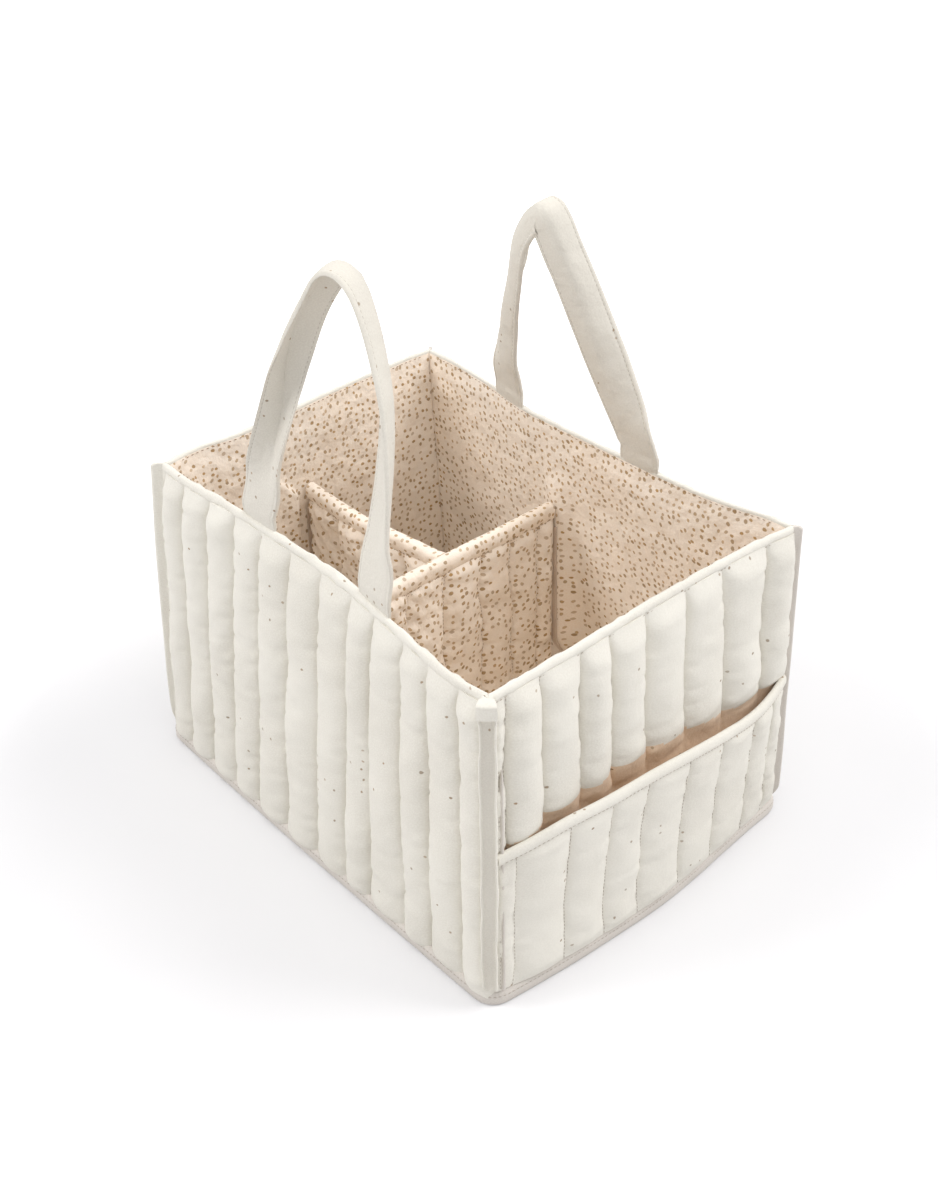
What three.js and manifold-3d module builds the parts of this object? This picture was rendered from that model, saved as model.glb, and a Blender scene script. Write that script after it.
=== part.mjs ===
// Quilted caddy for nappies and baby things: four padded walls on a stiff base, two strap
// handles, a pocket on each short end and a padded divider insert that lifts out.
// Millimetres, +Z up, X along the caddy, origin at the middle of the base on the floor.
import * as THREE from 'three';
import { mergeVertices } from 'three/addons/utils/BufferGeometryUtils.js';
import Module from 'manifold-3d';

const wasm = await Module();
wasm.setup();

// Overall size, measured at the stitch lines of the walls
const caddyHeight = 232;
const rimLength = 340;
const rimWidth = 245;
const baseLength = 350;
const baseWidth = 265;

// How far a wall bows out at its foot and in at its rim, halfway along
const endFootBow = 9;
const frontRimBow = 7.5;
const backRimBow = 6.5;
const rightRimBow = 4;
const leftRimBow = 1;

// Layers of a wall, from the outside in
const seamThickness = 2;
const puffHeight = 5;
const boardThickness = 2;
const liningThickness = 1.5;
const layerGap = 0.3;
const mitreGap = 0.3;
const boardDepth = seamThickness + layerGap;
const liningDepth = boardDepth + boardThickness + layerGap;
const wallThickness = liningDepth + liningThickness;

// Quilting: the pitch of the sewn channels and the flat margins at their ends
const wallChannelPitch = 28;
const channelMargin = 3.5;
const puffRamp = 9;
const channelShares = [0, 0.16, 0.5, 0.84];
const crownShare = 0.7;
const wallSteps = 10;
const heightSteps = 4;

// Base: cloth underneath, board, loose pad and the binding round the foot
const baseClothThickness = 2;
const baseBoardThickness = 2.5;
const basePadThickness = 3;
const padClearance = 0.6;
const bindingHeight = 10.6;
const bindingProud = 4.6;
const bindingCrown = 2.5;
const bindingBevel = 0.6;
const bindingShoulderShare = 0.7;
const bindingTopShare = 0.96;
const cornerTurnShares = [0.25, 0.5, 0.75];
const footOutlineSteps = 8;

// Rim edge: the turned and topstitched cloth on top of a wall
const rimEdgeHeight = 4;
const rimEdgeProud = 0.8;
const rimEdgeInner = 0.4;
const rimEdgeRound = 1.6;
const proudFadeShare = 0.07;
const rimMiddleShare = 0.8;
const rimSteps = 6;

// Corner bindings
const cornerBindingWidth = 11;
const cornerBindingThickness = 3.4;
const cornerBindingFoot = 12;
const cornerBindingPoint = 8;
const cornerPointShare = 0.35;
const cornerTabHeight = 14;
const cornerTabWidth = 2;
const cornerTabThickness = 0.8;
const cornerTabBevel = 1;

// Pockets on the short ends
const pocketHeight = 120;
const pocketSlant = 6;
const pocketThickness = 2;
const pocketPuff = 3.5;
const pocketEdgeInset = 4;
const pocketGape = 11;
const pocketSlack = 0.5;
const pocketBindingHeight = 7;
const pocketBindingProud = 1;
const pocketLipShare = 0.3;
const pocketCrownShare = 0.75;
const pocketFillShare = 0.12;
const pocketHeightShares = [0, 0.05, 0.1, 0.5, 0.9, 0.96, 1];

// Divider insert
const dividerTop = 168;
const crossDividerX = -27;
const longDividerY = 2;
const dividerSeamThickness = 4;
const dividerPuff = 2.5;
const dividerPitch = 31;
const dividerBandHeight = 12;
const dividerBandThickness = 7;
const bandFootShare = 0.8;
const bandShoulderShare = 0.33;
const dividerEdgeClearance = 0.8;
const hookTapeWidth = 8;
const hookTapeThickness = 1.2;
const hookTapeLength = 110;
const loopTapeWidth = 25;
const loopTapeThickness = 1.5;
const loopTapeLength = 120;
const tapeTopDrop = 18;

// Handles: one strap each, flat at the feet, turned edge up and folded along its middle at the grip. Each
// station lists along, up and inward from the middle of the hinge, the turn of the strap about its own
// line and the fold along its middle, in degrees; the stations part the strap in ten from its left foot.
// The first stretch above the rim stays flat, so that the handle folds out over it.
const strapWidth = 33;
const strapThickness = 4;
const strapChamfer = 1.2;
const strapSteps = 44;
const flatFootShare = 0.023;
const freeStrapShare = 0.09;
const footArc = { from: 15, to: 60, steps: 2 };
const handleLineDivisions = 600;
const hingeRise = 8;
const tailLength = 40;
const tailThickness = 1.8;
const slotClearance = 0.3;
const foldClearance = 0.7;
const tailFlare = 2.5;
const frontHandle = {
  name: 'front', offset: 0, footSpacing: 120, lean: 9,
  stations: [
    [-60, 0, 0, 0, 0], [-54, 34, 2, 8, 32], [-47, 70, 4, 30, 46], [-42, 104, 5, 68, 46], [-28.5, 138, 5, 96, 34],
    [-4, 169.5, 5.5, 88, 26], [21, 164, 6, 54, 25], [45.5, 121, 6, 42, 21], [56, 80.5, 3.5, 32, 18],
    [59, 39, 1.5, 20, 14], [60, 0, 0, 0, 0],
  ],
};
const backHandle = {
  name: 'back', offset: -12, footSpacing: 128, lean: 9,
  stations: [
    [-64, 0, 0, 0, 0], [-61, 31, 2.5, 18, 16], [-52.5, 64, 2, 34, 28], [-41, 96, 0.5, 50, 32], [-29, 130, -0.5, 54, 34],
    [-7.5, 151, -1.5, 54, 38], [10.5, 122, -0.5, 48, 35], [26.5, 86, 0, 37, 30], [41, 50, 0, 21, 22],
    [57, 17, 0, 6, 8], [64, 0, 0, 0, 0],
  ],
};
const foldAngle = 135;

const overrun = 1;
const weldTolerance = 1e-5;

// Finishes
const outerCotton = new THREE.MeshStandardMaterial({ color: 0xe6e1d8, roughness: 0.9, metalness: 0 });
const liningCotton = new THREE.MeshStandardMaterial({ color: 0xe3cdb8, roughness: 0.92, metalness: 0 });
const greyBoard = new THREE.MeshStandardMaterial({ color: 0xb9b4aa, roughness: 0.8, metalness: 0 });
const whiteTape = new THREE.MeshStandardMaterial({ color: 0xe9e4da, roughness: 0.95, metalness: 0 });

const caddy = new THREE.Group();
const mix = THREE.MathUtils.lerp;
const radians = THREE.MathUtils.degToRad;

// The walls. An end wall faces along X, a long wall along Y.
const walls = {
  front: { facesX: false, sign: -1, footBow: 0, rimBow: frontRimBow },
  back: { facesX: false, sign: 1, footBow: 0, rimBow: backRimBow },
  left: { facesX: true, sign: -1, footBow: endFootBow, rimBow: leftRimBow },
  right: { facesX: true, sign: 1, footBow: endFootBow, rimBow: rightRimBow },
};

function halfLengthAt(z) {
  return mix(baseLength, rimLength, z / caddyHeight) / 2;
}

function halfWidthAt(z) {
  return mix(baseWidth, rimWidth, z / caddyHeight) / 2;
}

// A point of a wall: s runs from -1 to 1 along it, depth from its stitch plane inwards.
// Neighbouring walls meet at a mitre, so every layer is shorter the deeper it lies.
function wallPoint(wall, s, z, depth) {
  const rise = z / caddyHeight;
  const bow = (wall.footBow * (1 - rise) ** 2 - wall.rimBow * rise ** 2) * (1 - s * s);
  const across = (wall.facesX ? halfLengthAt(z) : halfWidthAt(z)) - depth + bow;
  const along = s * ((wall.facesX ? halfWidthAt(z) : halfLengthAt(z)) - depth - mitreGap);
  return wall.facesX
    ? new THREE.Vector3(wall.sign * across, along, z)
    : new THREE.Vector3(along, wall.sign * across, z);
}

// Share along a wall of a place given in millimetres from its middle
function shareAlong(wall, place, z) {
  return place / ((wall.facesX ? halfWidthAt(z) : halfLengthAt(z)) - mitreGap);
}

// A closed solid from a list of points and faces, turned so that its faces point out
function closedGeometry(points, faces) {
  let volume = 0;
  for (const [a, b, c] of faces) {
    volume += points[a].dot(new THREE.Vector3().crossVectors(points[b], points[c]));
  }
  const geometry = new THREE.BufferGeometry();
  const coordinates = points.flatMap((point) => point.toArray());
  geometry.setAttribute('position', new THREE.Float32BufferAttribute(coordinates, 3));
  geometry.setIndex(faces.flatMap(([a, b, c]) => (volume > 0 ? [a, b, c] : [a, c, b])));
  return geometry;
}

// A sheet with thickness: outer and inner give its two faces at each pair of grid values
function sheetSolid(alongValues, upValues, outer, inner) {
  const points = [];
  const faces = [];
  const columns = alongValues.length;
  const rows = upValues.length;
  for (const face of [outer, inner]) {
    for (const up of upValues) {
      for (const along of alongValues) points.push(face(along, up));
    }
  }
  const lastRow = rows - 1;
  const lastColumn = columns - 1;
  const at = (layer, row, column) => (layer * rows + row) * columns + column;
  const quad = (a, b, c, d) => faces.push([a, b, c], [a, c, d]);
  for (let row = 0; row < lastRow; row += 1) {
    for (let column = 0; column < lastColumn; column += 1) {
      quad(at(0, row, column), at(0, row, column + 1), at(0, row + 1, column + 1), at(0, row + 1, column));
      quad(at(1, row, column), at(1, row + 1, column), at(1, row + 1, column + 1), at(1, row, column + 1));
    }
    quad(at(1, row, 0), at(0, row, 0), at(0, row + 1, 0), at(1, row + 1, 0));
    quad(at(0, row, lastColumn), at(1, row, lastColumn), at(1, row + 1, lastColumn), at(0, row + 1, lastColumn));
  }
  for (let column = 0; column < lastColumn; column += 1) {
    quad(at(1, 0, column), at(1, 0, column + 1), at(0, 0, column + 1), at(0, 0, column));
    quad(at(0, lastRow, column), at(0, lastRow, column + 1), at(1, lastRow, column + 1), at(1, lastRow, column));
  }
  return closedGeometry(points, faces);
}

// A section carried along a path: place gives the point of one section corner at a station.
// A closed path joins its last station to its first and has no ends to cap.
function sweptSolid(section, stations, place, closed = false) {
  const points = [];
  const faces = [];
  const sides = section.length;
  stations.forEach((station) => section.forEach((corner) => points.push(place(station, corner))));
  const runs = closed ? stations.length : stations.length - 1;
  for (let run = 0; run < runs; run += 1) {
    for (let side = 0; side < sides; side += 1) {
      const next = (side + 1) % sides;
      const here = run * sides;
      const there = ((run + 1) % stations.length) * sides;
      faces.push([here + side, there + side, there + next], [here + side, there + next, here + next]);
    }
  }
  if (!closed) {
    const flat = section.map(([a, b]) => new THREE.Vector2(a, b));
    const last = (stations.length - 1) * sides;
    const turn = Math.sign(THREE.ShapeUtils.area(flat));
    for (const [a, b, c] of THREE.ShapeUtils.triangulateShape(flat, [])) {
      const sameWay = THREE.ShapeUtils.area([flat[a], flat[b], flat[c]]) * turn > 0;
      const [first, second, third] = sameWay ? [a, b, c] : [a, c, b];
      faces.push([first, second, third], [last + third, last + second, last + first]);
    }
  }
  return closedGeometry(points, faces);
}

function toManifold(geometry) {
  const merged = mergeVertices(geometry.clone(), weldTolerance);
  return new wasm.Manifold(new wasm.Mesh({
    numProp: 3,
    vertProperties: new Float32Array(merged.attributes.position.array),
    triVerts: new Uint32Array(merged.index.array),
  }));
}

function fromManifold(solid) {
  const mesh = solid.getMesh();
  const geometry = new THREE.BufferGeometry();
  geometry.setAttribute('position', new THREE.Float32BufferAttribute(mesh.vertProperties, 3));
  geometry.setIndex(Array.from(mesh.triVerts));
  return geometry;
}

function cut(geometry, cutters) {
  let solid = toManifold(geometry);
  for (const cutter of cutters) solid = solid.subtract(toManifold(cutter));
  return fromManifold(solid);
}

function addPiece(name, geometry, material) {
  const mesh = new THREE.Mesh(geometry, material);
  mesh.name = name;
  caddy.add(mesh);
}

function evenSteps(from, to, count) {
  return Array.from({ length: count + 1 }, (_, step) => mix(from, to, step / count));
}

// Places along a run of channels, with points at each seam and over each crown. The first and
// last channels start after a flat margin. Each place carries how far it is puffed, 0 to 1.
function channelPlaces(half, pitch, margin) {
  const count = Math.round((2 * (half - margin)) / pitch);
  const width = (2 * (half - margin)) / count;
  const places = [{ at: -half, puff: 0 }];
  for (let channel = 0; channel < count; channel += 1) {
    for (const share of channelShares) {
      const puff = Math.sin(Math.PI * share) ** crownShare;
      places.push({ at: -half + margin + (channel + share) * width, puff });
    }
  }
  places.push({ at: half - margin, puff: 0 }, { at: half, puff: 0 });
  return places;
}

// How far a channel is filled at a height: nothing at its two sewn ends, full past the ramp
function fillAt(z, bottom, top, ramp) {
  return Math.sin((Math.PI / 2) * Math.min(1, (z - bottom) / ramp, (top - z) / ramp));
}

function rampedHeights(bottom, top, ramp) {
  const middle = evenSteps(bottom + ramp, top - ramp, heightSteps);
  return [bottom, bottom + ramp / 3, ...middle, top - ramp / 3, top];
}

// The outline of the foot at a height and a depth inside the stitch planes
function footOutline(depth, z) {
  const outline = new THREE.Shape();
  const round = [['front', 1], ['right', 1], ['back', -1], ['left', -1]];
  round.forEach(([side, direction], index) => {
    evenSteps(-1, 1, footOutlineSteps).slice(0, -1).forEach((s, step) => {
      const point = wallPoint(walls[side], s * direction, z, depth);
      if (index === 0 && step === 0) outline.moveTo(point.x, point.y);
      else outline.lineTo(point.x, point.y);
    });
  });
  return outline;
}

// Outer wall panels: channels sewn upright, thin at the seams and crowned between them
const panelBottom = baseClothThickness + layerGap;
const panelTop = caddyHeight - rimEdgeHeight - layerGap;
const bindingTop = bindingHeight + layerGap;

// Every layer of a wall has its points at the same heights, so the layers bow alike
const wallHeights = [panelBottom, ...rampedHeights(bindingTop, panelTop, puffRamp)];

function wallPuff(z) {
  if (z <= bindingTop) return 0;
  return puffHeight * fillAt(z, bindingTop, panelTop, puffRamp);
}

function addWallPanel(side) {
  const wall = walls[side];
  const half = wall.facesX ? baseWidth / 2 : baseLength / 2;
  const places = channelPlaces(half, wallChannelPitch, channelMargin);
  const outer = ({ at, puff }, z) => wallPoint(wall, at / half, z, -puff * wallPuff(z));
  const inner = ({ at }, z) => wallPoint(wall, at / half, z, seamThickness);
  addPiece(`${side}_wall_panel`, sheetSolid(places, wallHeights, outer, inner), outerCotton);
}

// Handle tails: the sewn-in ends of each strap. Below the rim they lie flat in a notch of the
// board, and above it they stand on the line that the strap folds on, as thick as the strap and
// cut away on the side where it folds out.
const strapDepth = boardDepth + boardThickness / 2;
const hingeHeight = caddyHeight + hingeRise;
const stubTop = hingeHeight - strapThickness / 2 - layerGap;
const footRadius = strapThickness / 2;

function footPlaces(handle) {
  return [handle.offset - handle.footSpacing / 2, handle.offset + handle.footSpacing / 2];
}

// The handle folds on a straight line, midway between the places where the wall carries its feet
function hingeDistance(side) {
  const seats = footPlaces(handleOf[side]).map((place) => wallPoint(
    walls[side], shareAlong(walls[side], place, caddyHeight), caddyHeight, strapDepth,
  ).y);
  return (seats[0] + seats[1]) / 2;
}

function strapTailSection() {
  const halfTail = tailThickness / 2;
  const tail = caddyHeight - tailLength;
  const neck = caddyHeight - rimEdgeHeight;
  const foldSlope = Math.tan(radians(180 - foldAngle));
  const peak = (footRadius + foldClearance) / Math.cos(radians(180 - foldAngle));
  const outerTop = hingeHeight - peak - footRadius * foldSlope;
  const crest = (stubTop - hingeHeight + peak) / foldSlope;
  return [
    [strapDepth + halfTail, tail], [strapDepth + halfTail, neck],
    [strapDepth + footRadius, neck + tailFlare / 2], [strapDepth + footRadius, caddyHeight],
    [strapDepth + footRadius, stubTop], [strapDepth + crest, stubTop],
    [strapDepth - footRadius, outerTop], [strapDepth - footRadius, caddyHeight],
    [strapDepth - footRadius, neck + tailFlare / 2],
    [strapDepth - halfTail, neck], [strapDepth - halfTail, tail],
  ];
}

function addHandleTail(side, handle, place, end) {
  const wall = walls[side];
  const hingeY = hingeDistance(side);
  const stations = [place - strapWidth / 2, place, place + strapWidth / 2];
  const at = (along, [depth, z]) => {
    const point = wallPoint(wall, shareAlong(wall, along, caddyHeight), Math.min(z, caddyHeight), depth);
    if (z > caddyHeight) point.y = hingeY + wall.sign * (strapDepth - depth);
    point.z = z;
    return point;
  };
  addPiece(`${handle.name}_handle_tail_${end}`, sweptSolid(strapTailSection(), stations, at), outerCotton);
}

function tailCutter(side, place, halfDepth, bottom, top) {
  const wall = walls[side];
  const section = [
    [strapDepth - halfDepth, bottom], [strapDepth + halfDepth, bottom],
    [strapDepth + halfDepth, top], [strapDepth - halfDepth, top],
  ];
  const reach = strapWidth / 2 + slotClearance;
  const at = (along, [depth, z]) => wallPoint(wall, shareAlong(wall, along, caddyHeight), z, depth);
  return sweptSolid(section, [place - reach, place, place + reach], at);
}

const handleOf = { front: frontHandle, back: backHandle };

// Boards: a stiff sheet in each wall, notched where the strap tails are sewn in
function addWallBoard(side) {
  const wall = walls[side];
  const outer = (s, z) => wallPoint(wall, s, z, boardDepth);
  const inner = (s, z) => wallPoint(wall, s, z, boardDepth + boardThickness);
  let geometry = sheetSolid(evenSteps(-1, 1, wallSteps), wallHeights, outer, inner);
  if (handleOf[side]) {
    const bottom = caddyHeight - tailLength - slotClearance;
    const reach = boardThickness / 2 + overrun;
    geometry = cut(geometry, footPlaces(handleOf[side]).map(
      (place) => tailCutter(side, place, reach, bottom, panelTop + overrun),
    ));
  }
  addPiece(`${side}_wall_board`, geometry, greyBoard);
}

function addLining(side) {
  const wall = walls[side];
  const outer = (s, z) => wallPoint(wall, s, z, liningDepth);
  const inner = (s, z) => wallPoint(wall, s, z, wallThickness);
  addPiece(`${side}_lining`, sheetSolid(evenSteps(-1, 1, wallSteps), wallHeights, outer, inner), liningCotton);
}

// Rim edges: a rounded roll on top of each wall, slotted for the straps
function addRimEdge(side) {
  const wall = walls[side];
  const bottom = caddyHeight - rimEdgeHeight;
  const innerDepth = wallThickness + rimEdgeInner;
  const section = [
    [0, bottom], [-rimEdgeProud, bottom + rimEdgeHeight / 2],
    [-rimEdgeProud / 2, caddyHeight - rimEdgeRound / 2], [rimEdgeRound, caddyHeight],
    [innerDepth - rimEdgeRound, caddyHeight], [innerDepth, caddyHeight - rimEdgeRound],
    [innerDepth, bottom],
  ];
  const middle = evenSteps(-rimMiddleShare, rimMiddleShare, rimSteps);
  const stations = [-1, -1 + proudFadeShare, ...middle, 1 - proudFadeShare, 1];
  const at = (s, [depth, z]) => {
    const kept = depth < 0 ? depth * Math.min(1, (1 - Math.abs(s)) / proudFadeShare) : depth;
    return wallPoint(wall, s, z, kept);
  };
  let geometry = sweptSolid(section, stations, at);
  if (handleOf[side]) {
    geometry = cut(geometry, footPlaces(handleOf[side]).map((place) => tailCutter(
      side, place, footRadius + slotClearance, bottom - overrun, caddyHeight + overrun,
    )));
  }
  addPiece(`${side}_rim_edge`, geometry, outerCotton);
}

for (const side of Object.keys(walls)) {
  addWallPanel(side);
  addWallBoard(side);
  addLining(side);
  addRimEdge(side);
}
for (const side of Object.keys(handleOf)) {
  const handle = handleOf[side];
  footPlaces(handle).forEach((place, end) => addHandleTail(side, handle, place, ['left', 'right'][end]));
}

// Corner bindings: a folded strip along each upright corner, standing out on the diagonal. Its
// inner edge sits on the corner, its foot ends in a point and its top is folded into a tab.
function addCornerBinding(frontOrBack, leftOrRight) {
  const signX = walls[leftOrRight].sign;
  const signY = walls[frontOrBack].sign;
  const half = cornerBindingThickness / 2;
  const seat = layerGap * Math.SQRT2;
  const section = [
    [seat, 0], [seat - half, half], [cornerBindingWidth - half / 2, half],
    [cornerBindingWidth, half / 2], [cornerBindingWidth, -half / 2],
    [cornerBindingWidth - half / 2, -half], [seat - half, -half],
  ];
  const top = caddyHeight - layerGap;
  const tab = top - cornerTabHeight;
  const stations = [
    { z: cornerBindingFoot, reachShare: cornerPointShare, widen: 0, thicken: -half / 2 },
    { z: cornerBindingFoot + cornerBindingPoint, reachShare: 1, widen: 0, thicken: 0 },
    { z: (cornerBindingFoot + tab) / 2, reachShare: 1, widen: 0, thicken: 0 },
    { z: tab - cornerTabBevel, reachShare: 1, widen: 0, thicken: 0 },
    { z: tab + cornerTabBevel, reachShare: 1, widen: cornerTabWidth, thicken: cornerTabThickness },
    { z: top - cornerTabBevel, reachShare: 1, widen: cornerTabWidth, thicken: cornerTabThickness },
    { z: top, reachShare: 1, widen: cornerTabWidth - cornerTabBevel, thicken: 0 },
  ];
  const at = ({ z, reachShare, widen, thicken }, [out, side]) => {
    const outer = out > half;
    const reach = outer ? (out + widen) * reachShare : out;
    const sideways = side + Math.sign(side) * (outer ? thicken : 0);
    const x = halfLengthAt(z) + (reach - sideways) / Math.SQRT2;
    const y = halfWidthAt(z) + (reach + sideways) / Math.SQRT2;
    return new THREE.Vector3(signX * x, signY * y, z);
  };
  addPiece(`${frontOrBack}_${leftOrRight}_corner_binding`, sweptSolid(section, stations, at), outerCotton);
}
for (const frontOrBack of ['front', 'back']) {
  for (const leftOrRight of ['left', 'right']) addCornerBinding(frontOrBack, leftOrRight);
}

// Base cloth, board and pad, cut to the foot's outline one inside the other
function addBaseLayer(name, depth, bottom, thickness, material) {
  const outline = footOutline(depth, bottom + thickness);
  const geometry = new THREE.ExtrudeGeometry(outline, { depth: thickness, bevelEnabled: false });
  geometry.translate(0, 0, bottom);
  addPiece(name, geometry, material);
}
const boardBottom = baseClothThickness + layerGap;
const padBottom = boardBottom + baseBoardThickness + layerGap;
const padTop = padBottom + basePadThickness;
addBaseLayer('base_cloth', 0, 0, baseClothThickness, outerCotton);
addBaseLayer('base_board', wallThickness + padClearance, boardBottom, baseBoardThickness, greyBoard);
addBaseLayer('base_pad', wallThickness + padClearance, padBottom, basePadThickness, liningCotton);

// Base binding: one strip round the foot, with its corners turned on a small arc
function addBaseBinding() {
  const stations = [];
  const turn = [['front', 1, -90], ['right', 1, 0], ['back', -1, 90], ['left', -1, 180]];
  for (const [side, direction, facing] of turn) {
    const wall = walls[side];
    const steps = wall.facesX ? wallSteps : 2;
    for (const s of evenSteps(-1, 1, steps)) {
      const slope = wall.facesX ? -2 * s * wall.footBow / (baseWidth / 2) : 0;
      stations.push({ wall, s: s * direction, angle: facing - THREE.MathUtils.radToDeg(Math.atan(slope)) });
    }
    for (const share of cornerTurnShares) {
      stations.push({ wall, s: direction, angle: facing + 90 * share });
    }
  }
  const section = [
    [layerGap, 0], [bindingProud - bindingBevel, 0], [bindingProud, bindingCrown],
    [bindingProud - bindingBevel, bindingHeight * bindingShoulderShare],
    [bindingProud / 2, bindingHeight * bindingTopShare],
    [layerGap, bindingHeight],
  ];
  const at = ({ wall, s, angle }, [out, z]) => {
    const corner = Math.abs(s) === 1;
    const point = wallPoint(wall, s, 0, 0);
    if (corner) point.set(Math.sign(point.x) * halfLengthAt(0), Math.sign(point.y) * halfWidthAt(0), 0);
    const turned = radians(angle);
    const shrinkX = halfLengthAt(0) - halfLengthAt(z);
    const shrinkY = halfWidthAt(0) - halfWidthAt(z);
    point.x += out * Math.cos(turned) - Math.sign(point.x) * shrinkX * Math.abs(Math.cos(turned));
    point.y += out * Math.sin(turned) - Math.sign(point.y) * shrinkY * Math.abs(Math.sin(turned));
    point.z = z;
    return point;
  };
  addPiece('base_binding', sweptSolid(section, stations, at, true), outerCotton);
}
addBaseBinding();

// Pockets: a quilted panel sewn in at the corners and the foot, standing off the wall between
// them, with its mouth bound and gaping a little
function addPocket(side) {
  const wall = walls[side];
  const half = baseWidth / 2 - pocketEdgeInset;
  const places = channelPlaces(half, wallChannelPitch, channelMargin);
  const mouthAt = (at) => pocketHeight - (pocketSlant * at) / half;
  const panelTopAt = (at) => mouthAt(at) - pocketBindingHeight - layerGap;
  const standOff = (at, z) => {
    const fromCorner = (baseWidth / 2 - Math.abs(at) - channelMargin) / (wallChannelPitch / 2);
    const overCrown = Math.sin((Math.PI / 2) * Math.min(1, fromCorner)) ** crownShare;
    const gape = pocketGape * (1 - (at / half) ** 2) * ((z - bindingTop) / (pocketHeight - bindingTop)) ** 2;
    return layerGap + pocketSlack + wallPuff(z) * overCrown + gape;
  };
  const share = (at) => at / (baseWidth / 2);
  const heightAt = (at, up) => mix(bindingTop, panelTopAt(at), up);
  const fill = (up) => Math.sin((Math.PI / 2) * Math.min(1, up / pocketFillShare, (1 - up) / pocketFillShare));
  const outer = ({ at, puff }, up) => {
    const z = heightAt(at, up);
    return wallPoint(wall, share(at), z, -standOff(at, z) - pocketThickness - pocketPuff * puff * fill(up));
  };
  const inner = ({ at }, up) => {
    const z = heightAt(at, up);
    return wallPoint(wall, share(at), z, -standOff(at, z));
  };
  addPiece(`${side}_pocket_panel`, sheetSolid(places, pocketHeightShares, outer, inner), outerCotton);

  const band = pocketBindingHeight;
  const section = [
    [0, 0], [pocketThickness, 0], [pocketThickness + pocketBindingProud, band * pocketLipShare],
    [pocketThickness + pocketBindingProud, band * pocketCrownShare], [pocketThickness / 2, band],
    [-pocketBindingProud / 2, band * pocketCrownShare],
  ];
  const at = (along, [out, up]) => {
    const z = mouthAt(along) - band + up;
    return wallPoint(wall, share(along), z, -standOff(along, panelTopAt(along)) - out);
  };
  const ends = places.filter((_, index) => index % 2 === 0 || index === places.length - 1);
  addPiece(`${side}_pocket_binding`, sweptSolid(section, ends.map((place) => place.at), at), outerCotton);
}
addPocket('right');
addPocket('left');

// Divider insert: quilted on both faces, with a padded band along the top. It has upright sides
// set by the narrowest place that it passes, so that it lifts straight out.
const insertBottom = padTop + layerGap;
const edgeDepth = wallThickness + rimEdgeInner + dividerEdgeClearance;
const tapeTop = dividerTop - tapeTopDrop;

function insertReach(side) {
  const wall = walls[side];
  const loopBottom = tapeTop - loopTapeLength;
  const reaches = [...wallHeights, loopBottom, tapeTop, caddyHeight].map((z) => {
    const point = wallPoint(wall, 0, z, edgeDepth);
    const loopTape = z >= loopBottom && z <= tapeTop ? layerGap + loopTapeThickness : 0;
    return wall.sign * (wall.facesX ? point.x : point.y) - loopTape;
  });
  return Math.min(...reaches) - hookTapeThickness - layerGap;
}
const crossFront = -insertReach('front');
const crossBack = insertReach('back');
const longLeft = -insertReach('left');
const dividerCrown = dividerSeamThickness / 2 + dividerPuff;
const longRight = crossDividerX - dividerCrown - layerGap;
const bandBottom = dividerTop - dividerBandHeight;

// The argument place turns a spot along a divider, a height and an offset from its middle plane into a point
function addDivider(name, from, to, place) {
  const half = (to - from) / 2;
  const middle = (to + from) / 2;
  const places = channelPlaces(half, dividerPitch, channelMargin);
  const top = bandBottom - layerGap;
  const heights = [insertBottom, insertBottom + puffRamp, (insertBottom + top) / 2, top - puffRamp, top];
  const face = (sign) => ({ at, puff }, z) => {
    const crown = dividerPuff * puff * fillAt(z, insertBottom, top, puffRamp);
    return place(middle + at, z, sign * (dividerSeamThickness / 2 + crown));
  };
  addPiece(name, sheetSolid(places, heights, face(1), face(-1)), liningCotton);

  const halfBand = dividerBandThickness / 2;
  const shoulder = bandBottom + dividerBandHeight * bandShoulderShare;
  const section = [
    [-halfBand * bandFootShare, bandBottom], [halfBand * bandFootShare, bandBottom], [halfBand, shoulder],
    [halfBand, dividerTop - halfBand], [halfBand / 2, dividerTop], [-halfBand / 2, dividerTop],
    [-halfBand, dividerTop - halfBand], [-halfBand, shoulder],
  ];
  const at = (along, [offset, z]) => place(along, z, offset);
  addPiece(`${name}_band`, sweptSolid(section, [from, middle, to], at), liningCotton);
}
addDivider('cross_divider', crossFront, crossBack, (along, z, offset) => (
  new THREE.Vector3(crossDividerX + offset, along, z)
));
addDivider('long_divider', longLeft, longRight, (along, z, offset) => (
  new THREE.Vector3(along, longDividerY + offset, z)
));

// Hook tape on the divider ends, and loop tape on the lining beside them
function addHookTape(name, x, y, alongX) {
  const size = alongX ? [hookTapeThickness, hookTapeWidth] : [hookTapeWidth, hookTapeThickness];
  const geometry = new THREE.BoxGeometry(size[0], size[1], hookTapeLength);
  geometry.translate(x, y, tapeTop - hookTapeLength / 2);
  addPiece(name, geometry, whiteTape);
}
const hookOffset = layerGap + hookTapeThickness / 2;
addHookTape('cross_divider_front_hook_tape', crossDividerX, crossFront - hookOffset, false);
addHookTape('cross_divider_back_hook_tape', crossDividerX, crossBack + hookOffset, false);
addHookTape('long_divider_left_hook_tape', longLeft - hookOffset, longDividerY, true);

function addLoopTape(side, place) {
  const wall = walls[side];
  const from = wallThickness + layerGap;
  const stations = evenSteps(place - loopTapeWidth / 2, place + loopTapeWidth / 2, 2);
  const heights = evenSteps(tapeTop - loopTapeLength, tapeTop, 3);
  const face = (depth) => (along, z) => wallPoint(wall, shareAlong(wall, along, caddyHeight), z, depth);
  const tape = sheetSolid(stations, heights, face(from), face(from + loopTapeThickness));
  addPiece(`${side}_loop_tape`, tape, whiteTape);
}
addLoopTape('front', crossDividerX);
addLoopTape('back', crossDividerX);
addLoopTape('left', longDividerY);

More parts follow.
